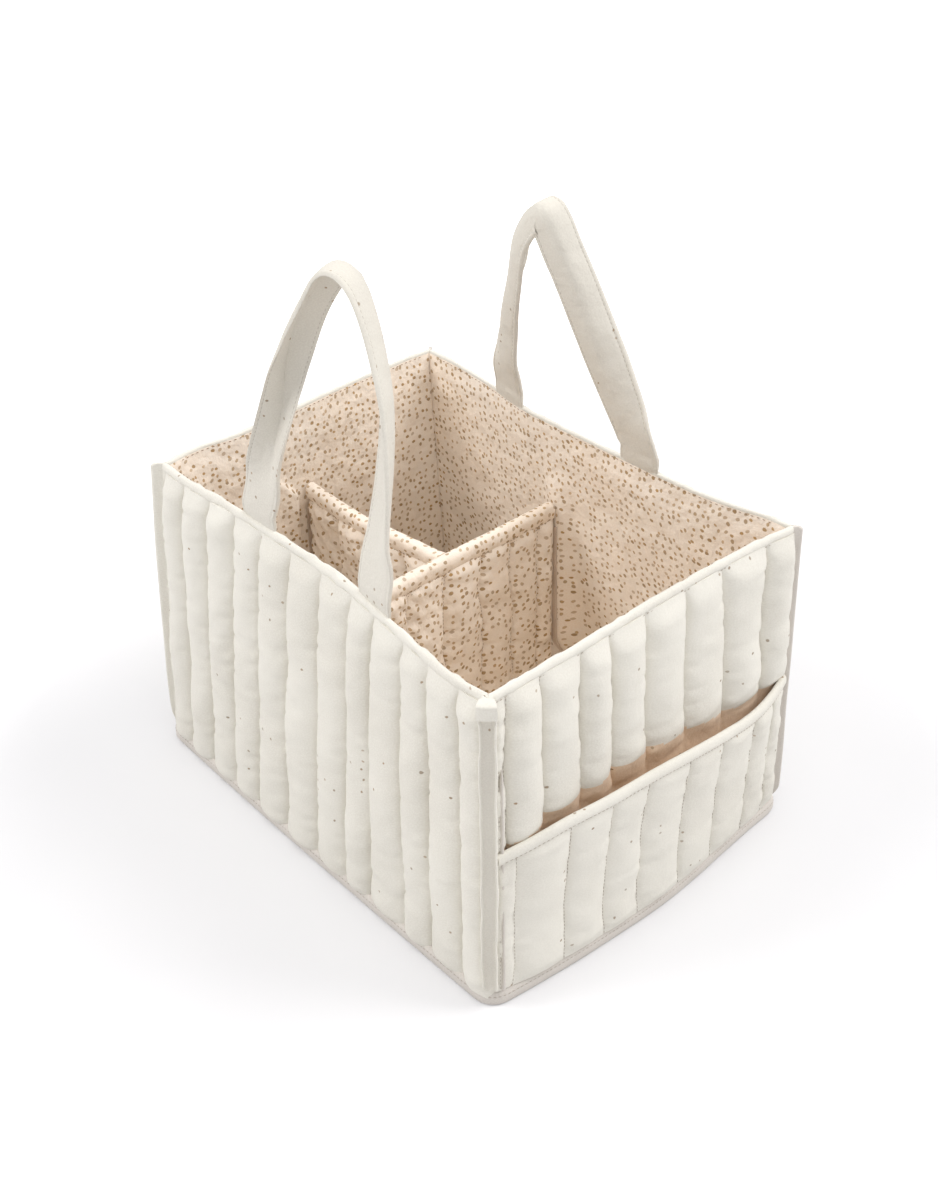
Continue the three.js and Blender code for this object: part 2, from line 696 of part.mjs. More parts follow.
// Handles. The middle line of a strap runs through its stations, in a plane that leans inwards from
// the hinge line above the rim. The strap turns about that line and folds along its middle.
function addHandle(side) {
  const handle = handleOf[side];
  const through = (points) => new THREE.CatmullRomCurve3(points, false, 'catmullrom');
  const line = through(handle.stations.map(([along, up, inward]) => new THREE.Vector3(along, up, inward)));
  const bends = through(handle.stations.map(([, , , turn, fold]) => new THREE.Vector3(turn, fold, 0)));
  line.arcLengthDivisions = handleLineDivisions;
  const inward = -walls[side].sign;
  const hingeY = hingeDistance(side);
  const halfWide = strapWidth / 2;
  const halfThick = strapThickness / 2;
  const section = [
    [-halfWide, halfThick - strapChamfer], [-halfWide + strapChamfer, halfThick], [0, halfThick],
    [halfWide - strapChamfer, halfThick], [halfWide, halfThick - strapChamfer],
    [halfWide, -halfThick + strapChamfer], [halfWide - strapChamfer, -halfThick], [0, -halfThick],
    [-halfWide + strapChamfer, -halfThick], [-halfWide, -halfThick + strapChamfer],
  ];
  const stations = [];
  const roundedFoot = (u) => evenSteps(footArc.from, footArc.to, footArc.steps).map((arc) => ({
    u, back: footRadius * Math.cos(radians(arc)), thinShare: Math.sin(radians(arc)),
  }));
  stations.push(...roundedFoot(0));
  evenSteps(0, 1, strapSteps).forEach((u) => stations.push({ u, back: 0, thinShare: 1 }));
  stations.push(...roundedFoot(1).reverse());
  const lean = radians(handle.lean);
  const at = ({ u, back, thinShare }, [wide, thick]) => {
    const t = line.getUtoTmapping(u);
    const middle = line.getPoint(t);
    const tangent = line.getTangent(t);
    if (u === 0 || u === 1) tangent.set(0, u === 0 ? 1 : -1, 0);
    middle.addScaledVector(tangent, u < 0.5 ? -back : back);
    const freed = THREE.MathUtils.smoothstep(Math.min(u, 1 - u), flatFootShare, freeStrapShare);
    const { x: turn, y: fold } = bends.getPoint(t).multiplyScalar(radians(freed));
    const inner = new THREE.Vector3(tangent.y, -tangent.x, 0).normalize();
    const inside = new THREE.Vector3().crossVectors(inner, tangent);
    const across = inner.multiplyScalar(Math.cos(turn)).addScaledVector(inside, Math.sin(turn));
    const normal = new THREE.Vector3().crossVectors(tangent, across);
    const drop = (Math.abs(wide) - halfWide / 2) * Math.sin(fold);
    const point = middle.addScaledVector(across, wide * Math.cos(fold)).addScaledVector(normal, thick * thinShare + drop);
    return new THREE.Vector3(
      handle.offset + point.x,
      hingeY + inward * (point.y * Math.sin(lean) + point.z * Math.cos(lean)),
      hingeHeight + point.y * Math.cos(lean) - point.z * Math.sin(lean),
    );
  };
  addPiece(`${side}_handle`, sweptSolid(section, stations, at), outerCotton);
}
addHandle('front');
addHandle('back');

export default caddy;
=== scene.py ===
# A quilted diaper caddy: soft padded walls, two strap handles, end pockets and a lift-out divider insert.
# The caddy's sizes are in millimetres. Points, the camera and the studio around the caddy are in metres.
import math

import bpy
import numpy as np
from mathutils import Matrix, Vector


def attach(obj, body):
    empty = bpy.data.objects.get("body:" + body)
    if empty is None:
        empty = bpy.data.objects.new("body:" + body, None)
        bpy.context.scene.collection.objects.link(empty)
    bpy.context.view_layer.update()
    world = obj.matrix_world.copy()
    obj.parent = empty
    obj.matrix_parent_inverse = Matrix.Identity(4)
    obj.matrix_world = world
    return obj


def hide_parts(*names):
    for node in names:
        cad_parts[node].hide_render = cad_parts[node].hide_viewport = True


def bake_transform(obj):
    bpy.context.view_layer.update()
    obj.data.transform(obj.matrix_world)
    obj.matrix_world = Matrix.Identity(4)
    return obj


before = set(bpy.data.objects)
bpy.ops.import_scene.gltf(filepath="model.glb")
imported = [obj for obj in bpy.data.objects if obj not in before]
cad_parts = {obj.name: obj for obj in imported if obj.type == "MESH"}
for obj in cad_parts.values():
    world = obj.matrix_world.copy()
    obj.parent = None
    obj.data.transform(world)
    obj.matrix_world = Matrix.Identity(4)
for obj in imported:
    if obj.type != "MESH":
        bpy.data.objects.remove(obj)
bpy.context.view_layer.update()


# The camera stands at the near right corner and looks down on the caddy, as in the photograph.
# Its place and lens come from the caddy's own corners and edges.
CAMERA_AZIMUTH = math.radians(49.885)
CAMERA_ELEVATION = math.radians(35.116)
CAMERA_ROLL = math.radians(-1.486)
CAMERA_PLACE = (0.64376, -0.53574, 0.73726)
CAMERA_LENS = 45.731

back = Vector((
    math.sin(CAMERA_AZIMUTH) * math.cos(CAMERA_ELEVATION),
    -math.cos(CAMERA_AZIMUTH) * math.cos(CAMERA_ELEVATION),
    math.sin(CAMERA_ELEVATION),
))
level = Vector((0, 0, 1)).cross(back).normalized()
upright = back.cross(level)
camera_right = level * math.cos(CAMERA_ROLL) + upright * math.sin(CAMERA_ROLL)
camera_up = upright * math.cos(CAMERA_ROLL) - level * math.sin(CAMERA_ROLL)
camera_data = bpy.data.cameras.new("camera")
camera_data.sensor_fit = "VERTICAL"
camera_data.sensor_height = 36
camera_data.lens = CAMERA_LENS
camera = bpy.data.objects.new("camera", camera_data)
bpy.context.scene.collection.objects.link(camera)
camera_turn = Matrix((camera_right, camera_up, back)).transposed()
camera.matrix_world = Matrix.Translation(CAMERA_PLACE) @ camera_turn.to_4x4()
bpy.context.scene.camera = camera
bpy.context.scene.view_settings.view_transform = "Standard"


# A seamless white studio sweep: to the camera it is blank white, and it keeps the caddy's soft shadow.
# The floor is matt painted board, and it throws plain light back up on the cotton.
def linear(code):
    """The linear colour of an sRGB hex value."""
    parts = [int(code[i:i + 2], 16) / 255 for i in (1, 3, 5)]
    return [p / 12.92 if p <= 0.04045 else ((p + 0.055) / 1.055) ** 2.4 for p in parts] + [1]


def add_node(tree, kind, links=None, **settings):
    """Adds a node to the tree; links gives each input a value or another node's output."""
    node = tree.nodes.new("ShaderNode" + kind)
    for key, value in settings.items():
        setattr(node, key, value)
    for key, value in (links or {}).items():
        if isinstance(value, bpy.types.NodeSocket):
            tree.links.new(value, node.inputs[key])
        else:
            node.inputs[key].default_value = value
    return node


def new_material(name):
    """A material with an empty node tree and its output."""
    material = bpy.data.materials.new(name)
    material.use_nodes = True
    material.node_tree.nodes.clear()
    return material, add_node(material.node_tree, "OutputMaterial")


def mesh_piece(name, points, faces, materials, uvs=None, face_material=None):
    """A mesh object from points in metres, its faces and a cloth map in metres for each face corner."""
    mesh = bpy.data.meshes.new(name)
    mesh.from_pydata([tuple(p) for p in points], [], [tuple(int(i) for i in f) for f in faces])
    for material in materials:
        mesh.materials.append(material)
    if uvs is not None:
        layer = mesh.uv_layers.new(name="cloth")
        layer.data.foreach_set("uv", np.asarray(uvs, np.float32).ravel())
    if face_material is not None:
        mesh.polygons.foreach_set("material_index", np.asarray(face_material, np.int32))
    mesh.shade_smooth()
    mesh.set_sharp_from_angle(angle=math.radians(60))
    mesh.validate()
    piece = bpy.data.objects.new(name, mesh)
    bpy.context.scene.collection.objects.link(piece)
    return piece


def seen_directly(tree):
    """1 where the camera, a gloss or a clear surface sees this, 0 for the light that falls on the object."""
    path = add_node(tree, "LightPath")
    gloss = add_node(tree, "Math", {0: path.outputs["Is Camera Ray"], 1: path.outputs["Is Glossy Ray"]},
                     operation="MAXIMUM")
    return add_node(tree, "Math", {0: gloss.outputs[0], 1: path.outputs["Is Transmission Ray"]},
                    operation="MAXIMUM").outputs[0]


SWEEP = 9.0
FLOOR_DROP = 0.0003
floor_material, floor_output = new_material("matt_white_floor")
floor_tree = floor_material.node_tree
floor_paint = add_node(floor_tree, "BsdfDiffuse", {"Color": linear("#E2E2E3"), "Roughness": 0.5})
floor_lift = add_node(floor_tree, "Emission", {"Color": linear("#FFFFFF")})
# Beyond the caddy's shadow the floor fades into the blank white of the sweep.
floor_place = add_node(floor_tree, "TexCoord")
floor_away = add_node(floor_tree, "VectorMath", {0: floor_place.outputs["Object"]}, operation="LENGTH")
floor_fade = add_node(floor_tree, "MapRange", {"Value": floor_away.outputs["Value"], "From Min": 0.34,
                                               "From Max": 1.1, "To Min": 0.115, "To Max": 1.0})
floor_strength = add_node(floor_tree, "Math", {0: seen_directly(floor_tree), 1: floor_fade.outputs[0]},
                          operation="MULTIPLY")
floor_tree.links.new(floor_strength.outputs[0], floor_lift.inputs["Strength"])
floor_sum = add_node(floor_tree, "AddShader", {0: floor_paint.outputs[0], 1: floor_lift.outputs[0]})
floor_tree.links.new(floor_sum.outputs[0], floor_output.inputs["Surface"])
floor = mesh_piece(
    "floor",
    [(x * SWEEP, y * SWEEP, -FLOOR_DROP) for x, y in ((-1, -1), (1, -1), (1, 1), (-1, 1))],
    [(0, 1, 2, 3)], [floor_material],
)

world = bpy.data.worlds.new("studio")
bpy.context.scene.world = world
world.use_nodes = True
sky_tree = world.node_tree
sky_tree.nodes.clear()
sky_light = add_node(sky_tree, "Background", {"Color": linear("#FEFDFF"), "Strength": 0.68})
sky_seen = add_node(sky_tree, "Background", {"Color": linear("#FFFFFF"), "Strength": 1.0})
sky_mix = add_node(sky_tree, "MixShader", {0: seen_directly(sky_tree), 1: sky_light.outputs[0],
                                           2: sky_seen.outputs[0]})
add_node(sky_tree, "OutputWorld", {"Surface": sky_mix.outputs[0]})

# Large soft boxes: one behind and to the right, which throws the soft shadow to the front left, one to the
# front left, which shades the right side of every channel, and one overhead that lights the inside.
CADDY_MIDDLE = Vector((0, 0, 0.12))
for lamp_name, place, size, power, tint in (
    ("soft_box_back", (2.5, 3.3, 4.8), 3.0, 180, "#FFFDFC"),
    ("soft_box_front", (-2.6, -3.7, 4.6), 2.6, 138, "#FFFDFC"),
    ("soft_box_top", (0.7, -0.5, 6.0), 3.0, 66, "#FFFFFF"),
):
    lamp_data = bpy.data.lights.new(lamp_name, "AREA")
    lamp_data.shape = "SQUARE"
    lamp_data.size = size
    lamp_data.energy = power
    lamp_data.color = linear(tint)[:3]
    lamp = bpy.data.objects.new(lamp_name, lamp_data)
    bpy.context.scene.collection.objects.link(lamp)
    lamp.location = place
    lamp.rotation_euler = (CADDY_MIDDLE - Vector(place)).to_track_quat("-Z", "Y").to_euler()


# The four outer walls are quilted panels: plain-woven cotton over soft wadding, stitched down in upright
# channels. Each is sewn, with its board and lining, into the rim, the corner bindings and the base binding.
MM = 0.001
CADDY_HEIGHT = 232
RIM_CORNERS = {
    "front_left": (-164.3, -119.2), "front_right": (168.8, -124.6),
    "back_right": (170.7, 126.3), "back_left": (-175.3, 122.0),
}
FOOT_CORNERS = {
    "front_left": (-175.8, -134.7), "front_right": (175.2, -132.0),
    "back_right": (174.9, 131.2), "back_left": (-175.0, 132.0),
}
FOOT_CORNER_HEIGHT = 10
# Each wall runs from one corner to the next with the caddy on its left.
# Its rim and its foot each bow inward by so many millimetres at a share of its length.
WALLS = {
    "front": {
        "corners": ("front_left", "front_right"), "outward": (0, -1),
        "rim": [(0, 0), (0.08, 0.3), (0.16, 2.5), (0.24, 5.2), (0.33, 6.4), (0.42, 8.1), (0.51, 9),
                (0.61, 7.5), (0.68, 5.4), (0.77, 2.2), (0.85, -0.6), (0.93, -2), (1, 0)],
        "foot": [(0, 0), (0.25, -1.2), (0.5, -1.6), (0.75, -1), (1, 0)],
    },
    "right": {
        "corners": ("front_right", "back_right"), "outward": (1, 0),
        "rim": [(0, 0), (0.17, 0.9), (0.28, 1.4), (0.51, 3.6), (0.65, 4.3), (0.81, 4.2), (0.92, 2.4), (1, 0)],
        "foot": [(0, 0), (0.1, -3.2), (0.2, -6), (0.35, -8.8), (0.52, -10.2), (0.65, -8.2), (0.76, -5),
                 (0.88, -1.8), (1, 0)],
    },
    "back": {
        "corners": ("back_right", "back_left"), "outward": (0, 1),
        "rim": [(0, 0), (0.05, 0.8), (0.1, 4.6), (0.15, 7.6), (0.2, 9.2), (0.3, 10.2), (0.42, 10.2),
                (0.5, 10.6), (0.6, 10.9), (0.67, 10.2), (0.73, 6.6), (0.79, 3.2), (0.86, 0.8), (0.93, -0.6),
                (1, 0)],
        "foot": [(0, 0), (0.25, -2), (0.5, -2.6), (0.75, -2), (1, 0)],
    },
    "left": {
        "corners": ("back_left", "front_left"), "outward": (-1, 0),
        "rim": [(0, 0), (0.07, -2.2), (0.15, -2.4), (0.3, -3), (0.42, -2.4), (0.52, -1), (0.65, 0.6),
                (0.76, 1), (0.82, -0.8), (0.87, -3), (0.93, -2.6), (1, 0)],
        "foot": [(0, 0), (0.2, -5), (0.5, -8.5), (0.8, -5), (1, 0)],
    },
}
# The middle of each rim hangs this much lower than its corners.
RIM_SAG = {"front": 0.6, "right": 0.6, "back": 1.6, "left": 0.6}
# The topstitching presses the layers together by this share below the rim, from this height over this length.
RIM_PRESS = 0.24
PRESS_FROM = 206
PRESS_OVER = 20
SIDES = list(WALLS)


def through(table, at):
    """A smooth curve through the (place, value) pairs of a table."""
    x, y = np.array(table, float).T
    slope = np.gradient(y, x)
    i = np.clip(np.searchsorted(x, at, side="right") - 1, 0, len(x) - 2)
    step = x[i + 1] - x[i]
    t = (at - x[i]) / step
    return (
        (1 + 2 * t) * (1 - t) ** 2 * y[i] + t * (1 - t) ** 2 * step * slope[i]
        + t * t * (3 - 2 * t) * y[i + 1] - t * t * (1 - t) * step * slope[i + 1]
    )


def smooth(share):
    """0 to 1 with soft ends."""
    t = np.clip(share, 0, 1)
    return t * t * (3 - 2 * t)


def pressed(height):
    """The share of its depth that a layer keeps at a height."""
    return 1 - RIM_PRESS * smooth((height - PRESS_FROM) / PRESS_OVER)


def raised(plan, height):
    """Points in metres at heights over plan places, both in millimetres."""
    height = np.broadcast_to(np.asarray(height, float)[..., None], plan.shape[:-1] + (1,))
    return np.concatenate([plan, height], -1) * MM


def corner_at(corner, height, inset):
    """The plan place of a corner seam at a height, moved inside by an inset."""
    seam_height = CADDY_HEIGHT - FOOT_CORNER_HEIGHT
    share = ((np.asarray(height, float) - FOOT_CORNER_HEIGHT) / seam_height)[..., None]
    foot = np.array(FOOT_CORNERS[corner])
    rim = np.array(RIM_CORNERS[corner])
    return foot + (rim - foot) * share - np.sign(rim) * np.asarray(inset, float)[..., None]


def on_wall(side, share, height, out):
    """The point of a wall at a share of its length, a height and a distance out from its seams, in metres."""
    share, height, out = np.broadcast_arrays(*(np.asarray(given, float) for given in (share, height, out)))
    wall = WALLS[side]
    inset = np.maximum(-out, 0) * pressed(height)
    start, end = (corner_at(c, height, inset) for c in wall["corners"])
    rise = height / CADDY_HEIGHT
    rim_bow = through(wall["rim"], share) * np.clip(rise, 0, 1.2) ** 2
    inward = rim_bow + through(wall["foot"], share) * (1 - rise) ** 2
    outward = np.array(wall["outward"])
    plan = start + (end - start) * share[..., None] + outward * (np.maximum(out, 0) - inward)[..., None]
    return raised(plan, height - RIM_SAG[side] * 4 * share * (1 - share) * np.clip(rise, 0, 1) ** 3)


def wall_length(side):
    """The length of a wall at its rim."""
    start, end = (np.array(RIM_CORNERS[c]) for c in WALLS[side]["corners"])
    return float(np.linalg.norm(end - start))


def weights(count, waves):
    """How much each of the random values along one direction adds to each of count places."""
    at = np.linspace(0, waves, count)
    low = np.minimum(at.astype(int), waves - 1)
    share = smooth(at - low)
    found = np.zeros((count, waves + 1))
    found[np.arange(count), low] += 1 - share
    found[np.arange(count), low + 1] += share
    return found


def soft_noise(rng, rows, columns, up, along):
    """Smooth random numbers from -1 to 1 on a grid, with so many waves up it and along it."""
    return weights(rows, up) @ rng.uniform(-1, 1, (up + 1, along + 1)) @ weights(columns, along).T


def closed_sheet(name, outer, inner, cloth, materials, inner_material=0, faced=None):
    """A closed piece between two grids of points, with a cloth map in metres that both grids share.

    inner_material is the inner grid's slot, and faced marks where the outer one has the second material, as
    painted shade."""
    rows, columns = outer.shape[:2]
    count = rows * columns
    grid = np.arange(count).reshape(rows, columns)
    a, b, c, d = (grid[:-1, :-1].ravel(), grid[:-1, 1:].ravel(), grid[1:, 1:].ravel(), grid[1:, :-1].ravel())
    front = np.stack([a, b, c, d], 1)
    rear = np.stack([a, d, c, b], 1) + count
    ring = np.concatenate([grid[0, :], grid[1:, -1], grid[-1, -2::-1], grid[-2:0:-1, 0]])
    following = np.roll(ring, -1)
    border = np.stack([following, ring, ring + count, following + count], 1)
    faces = np.concatenate([front, rear, border])
    points = np.concatenate([outer.reshape(-1, 3), inner.reshape(-1, 3)])
    flat = np.concatenate([cloth.reshape(-1, 2), cloth.reshape(-1, 2) + (0.013, 0.021)])
    slots = np.zeros(len(faces), int)
    slots[len(front):len(front) + len(rear)] = inner_material
    if faced is not None:
        slots[:len(front)][faced.ravel()[a]] = 1
    return mesh_piece(name, points, faces, materials, flat[faces.ravel()], slots)


def wall_sheet(name, side, share, along, heights, outer, inner, materials, shift=(0, 0), **faces):
    """A closed piece on a wall between two distances out from its seams.

    Its cloth map goes by length and height, and shift is where it is cut from the cloth, so that no two
    pieces have the same print."""
    cloth = np.stack(np.broadcast_arrays(along, heights), -1) * MM + shift
    return closed_sheet(name, on_wall(side, share, heights, outer), on_wall(side, share, heights, inner),
                        cloth, materials, **faces)


def fit(piece, body, node):
    """Fixes a piece to a body, in the place of one solid and of its material."""
    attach(piece, body)
    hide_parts(node)


def every(millimetres):
    """The scale of a texture whose pattern repeats every so many millimetres."""
    return 1 / (millimetres * MM)


def weave_material(name, ground, shade, dots=("#A2835F", "#8E7A62"), dot_cell=8.5, dot_size=1.9,
                   dot_share=0.03, cluster=0.22, nap=0.15, crumple=0.3):
    """Plain-woven cotton with a printed scatter of small ovals, its lengths in millimetres.

    dot_share is the share of places that are printed, and cluster is how far it varies across the cloth."""
    material, output = new_material(name)
    tree = material.node_tree
    cloth = add_node(tree, "UVMap", uv_map="cloth").outputs[0]
    # Uneven edges and places for the print, as a rotary screen leaves them.
    flat_noise = {"noise_dimensions": "2D"}
    drift = add_node(tree, "TexNoise", {"Vector": cloth, "Scale": every(2.381), "Detail": 1.0}, **flat_noise)
    drift_out = add_node(tree, "VectorMath", {0: drift.outputs["Color"], 1: (0.5, 0.5, 0.5)},
                         operation="SUBTRACT")
    drift_size = add_node(tree, "VectorMath", {0: drift_out.outputs[0], "Scale": 0.7 * MM}, operation="SCALE")
    printed = add_node(tree, "VectorMath", {0: cloth, 1: drift_size.outputs[0]}, operation="ADD").outputs[0]
    cells = add_node(tree, "TexVoronoi", {"Vector": printed, "Scale": every(dot_cell), "Randomness": 0.74},
                     voronoi_dimensions="2D", feature="F1")
    chance = add_node(tree, "SeparateColor", {0: cells.outputs["Color"]})
    offset = add_node(tree, "VectorMath", {0: printed, 1: cells.outputs["Position"]}, operation="SUBTRACT")
    turn = add_node(tree, "Math", {0: chance.outputs[2], 1: math.pi}, operation="MULTIPLY")
    turned = add_node(tree, "VectorRotate", {"Vector": offset.outputs[0], "Angle": turn.outputs[0]},
                      rotation_type="Z_AXIS")
    oval = add_node(tree, "VectorMath", {0: turned.outputs[0], 1: (1.0, 1.3, 0.0)}, operation="MULTIPLY")
    reach = add_node(tree, "VectorMath", {0: oval.outputs[0]}, operation="LENGTH")
    size = add_node(tree, "MapRange", {"Value": chance.outputs[1], "To Min": dot_size * 0.42 * MM,
                                       "To Max": dot_size * 0.58 * MM})
    inside = add_node(tree, "Math", {0: size.outputs[0], 1: reach.outputs["Value"]}, operation="SUBTRACT")
    edge = add_node(tree, "MapRange", {"Value": inside.outputs[0], "From Min": -0.22 * MM,
                                       "From Max": 0.22 * MM})
    # The print comes in loose clusters, so a slow noise moves the chance that a place is printed.
    crowd = add_node(tree, "TexNoise", {"Vector": cells.outputs["Position"], "Scale": every(47.62),
                                        "Detail": 1.0}, **flat_noise)
    limit = add_node(tree, "MapRange", {"Value": crowd.outputs[0], "From Min": 0.3, "From Max": 0.7,
                                        "To Min": dot_share - cluster, "To Max": dot_share + cluster})
    there = add_node(tree, "Math", {0: chance.outputs[0], 1: limit.outputs[0]}, operation="LESS_THAN")
    print_mask = add_node(tree, "Math", {0: edge.outputs[0], 1: there.outputs[0]}, operation="MULTIPLY")
    strength = add_node(tree, "MapRange", {"Value": chance.outputs[2], "To Min": 0.55, "To Max": 0.92})
    ink = add_node(tree, "Math", {0: print_mask.outputs[0], 1: strength.outputs[0]}, operation="MULTIPLY")
    # The ground varies a little in tone, by the hand's width and by the thread.
    tone = add_node(tree, "TexNoise", {"Vector": cloth, "Scale": every(111.1), "Detail": 3.0,
                                       "Roughness": 0.6}, **flat_noise)
    slub = add_node(tree, "TexNoise", {"Vector": cloth, "Scale": every(1.0526), "Detail": 2.0}, **flat_noise)
    tone_share = add_node(tree, "Math", {0: tone.outputs[0], 1: slub.outputs[0]}, operation="MULTIPLY")
    tone_mix = add_node(tree, "MapRange", {"Value": tone_share.outputs[0], "From Min": 0.12,
                                           "From Max": 0.42})
    ground_mix = add_node(tree, "Mix", {0: tone_mix.outputs[0], 6: linear(ground), 7: linear(shade)},
                          data_type="RGBA")
    dot_mix = add_node(tree, "Mix", {0: chance.outputs[1], 6: linear(dots[0]), 7: linear(dots[1])},
                       data_type="RGBA")
    colour = add_node(tree, "Mix", {0: ink.outputs[0], 6: ground_mix.outputs[2], 7: dot_mix.outputs[2]},
                      data_type="RGBA")
    # Threads lie 0.35 mm apart; they are drawn at 0.9 mm, the finest that a render shows.
    threads = {"Vector": cloth, "Scale": every(0.9) * math.pi / 10, "Distortion": 0.6, "Detail": 1.0}
    warp = add_node(tree, "TexWave", threads, bands_direction="X")
    weft = add_node(tree, "TexWave", threads, bands_direction="Y")
    weave = add_node(tree, "Math", {0: warp.outputs["Fac"], 1: weft.outputs["Fac"]}, operation="MULTIPLY")
    weave_bump = add_node(tree, "Bump", {"Height": weave.outputs[0], "Strength": nap, "Distance": 0.06 * MM})
    # Washed cotton over wadding is never quite smooth: soft creases a finger apart, and fine ones between.
    crease = add_node(tree, "TexNoise", {"Vector": cloth, "Scale": every(18.18), "Detail": 4.0,
                                         "Roughness": 0.55}, **flat_noise)
    crease_bump = add_node(tree, "Bump", {"Height": crease.outputs[0], "Strength": crumple,
                                          "Distance": 3 * MM, "Normal": weave_bump.outputs[0]})
    shader = add_node(tree, "BsdfPrincipled", {
        "Base Color": colour.outputs[2], "Roughness": 0.86, "Normal": crease_bump.outputs[0],
        "Sheen Weight": 0.12, "Sheen Roughness": 0.5, "Specular IOR Level": 0.25,
    })
    tree.links.new(shader.outputs[0], output.inputs["Surface"])
    return material


# Plain-woven cotton, bleached to a warm off-white: matt, a little uneven, with a sparse print of brown ovals.
outer_cotton = weave_material("woven_cotton_off_white", "#E7E4DA", "#DEDACF")
# The bindings are cut from the same cotton, unprinted, and pressed smoother. Their greyer tone is painted
# shade, for the underside of the base and the strips and hem in shade at the corners.
binding_cotton_painted_shade = weave_material("woven_cotton_binding_tape_painted_shade", "#D9D3CB", "#CFC9C1", dot_share=-1.0,
                                cluster=0.0, crumple=0.15)
# The straps are of the same cotton, more creased. This copy of it is greyer than on the walls as painted
# shade, which keeps the straps' lit tops from turning white.
strap_cotton_painted_shade = weave_material("woven_cotton_strap_painted_shade", "#DFDBD0", "#D6D1C6", cluster=0.2, crumple=0.5)
# Beige cotton in the same sparse print faces the inside of each pocket's panel. On the wall behind the pocket
# it is painted shade: the warm shade deep in the pocket's mouth, given as a beige facing.
pocket_facing_and_painted_shade_cotton = weave_material("woven_cotton_beige", "#ECD6BE", "#E2C8AB", cluster=0.3, crumple=0.5)


def thread(name, light, dark):
    """Spun cotton sewing thread."""
    material, output = new_material(name)
    tree = material.node_tree
    place = add_node(tree, "TexCoord")
    noise = add_node(tree, "TexNoise", {"Vector": place.outputs["Object"], "Scale": every(1.1111)})
    colour = add_node(tree, "Mix", {0: noise.outputs[0], 6: linear(light), 7: linear(dark)}, data_type="RGBA")
    shader = add_node(tree, "BsdfPrincipled", {"Base Color": colour.outputs[2], "Roughness": 0.8})
    tree.links.new(shader.outputs[0], output.inputs["Surface"])
    return material


# Both threads are darker than the cloth they are sewn into, as painted shade for the holes that the stitches
# sink into: a grey one on the outer cotton, and a darker brown one on the lining and at the foot of the
# seams.
pale_thread_painted_shade = thread("cotton_thread_off_white_painted_shade", "#C2B9AD", "#A89F93")
brown_thread_painted_shade = thread("cotton_thread_brown_painted_shade", "#A4896C", "#87705A")


# Sizes of stitches are in millimetres. No run follows this direction, so it gives each stitch its sides.
STITCH_ASIDE = (0.3, 0.4, 0.86)


def stitches(name, runs, body, pitch=3.2, length=2.2, radius=0.2, material=pale_thread_painted_shade):
    """Separate stitches of thread along runs of points in metres, as one piece."""
    ring = [(math.cos(a * math.pi), math.sin(a * math.pi)) for a in (0.25, 0.75, 1.25, 1.75)]
    points = []
    faces = []
    for run in runs:
        run = np.asarray(run, float)
        along = np.concatenate([[0], np.cumsum(np.linalg.norm(np.diff(run, axis=0), axis=1))])
        count = int(along[-1] / (pitch * MM))
        for k in range(count):
            ends = [k * pitch * MM + 0.5 * (pitch + way * length) * MM for way in (-1, 1)]
            a, b = (np.array([np.interp(e, along, run[:, i]) for i in range(3)]) for e in ends)
            ahead = (b - a) / max(np.linalg.norm(b - a), 1e-9)
            side = np.cross(ahead, STITCH_ASIDE)
            side /= np.linalg.norm(side)
            up = np.cross(side, ahead)
            first = len(points)
            points.append(a)
            for share in (0.25, 0.75):
                middle = a + (b - a) * share
                points.extend(middle + (side * x + up * y) * radius * MM for x, y in ring)
            points.append(b)
            for i in range(4):
                j = (i + 1) % 4
                faces += [(first, first + 1 + j, first + 1 + i)]
                faces += [(first + 1 + i, first + 1 + j, first + 5 + j, first + 5 + i)]
                faces += [(first + 5 + i, first + 5 + j, first + 9)]
    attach(mesh_piece(name, points, faces, [material]), body)


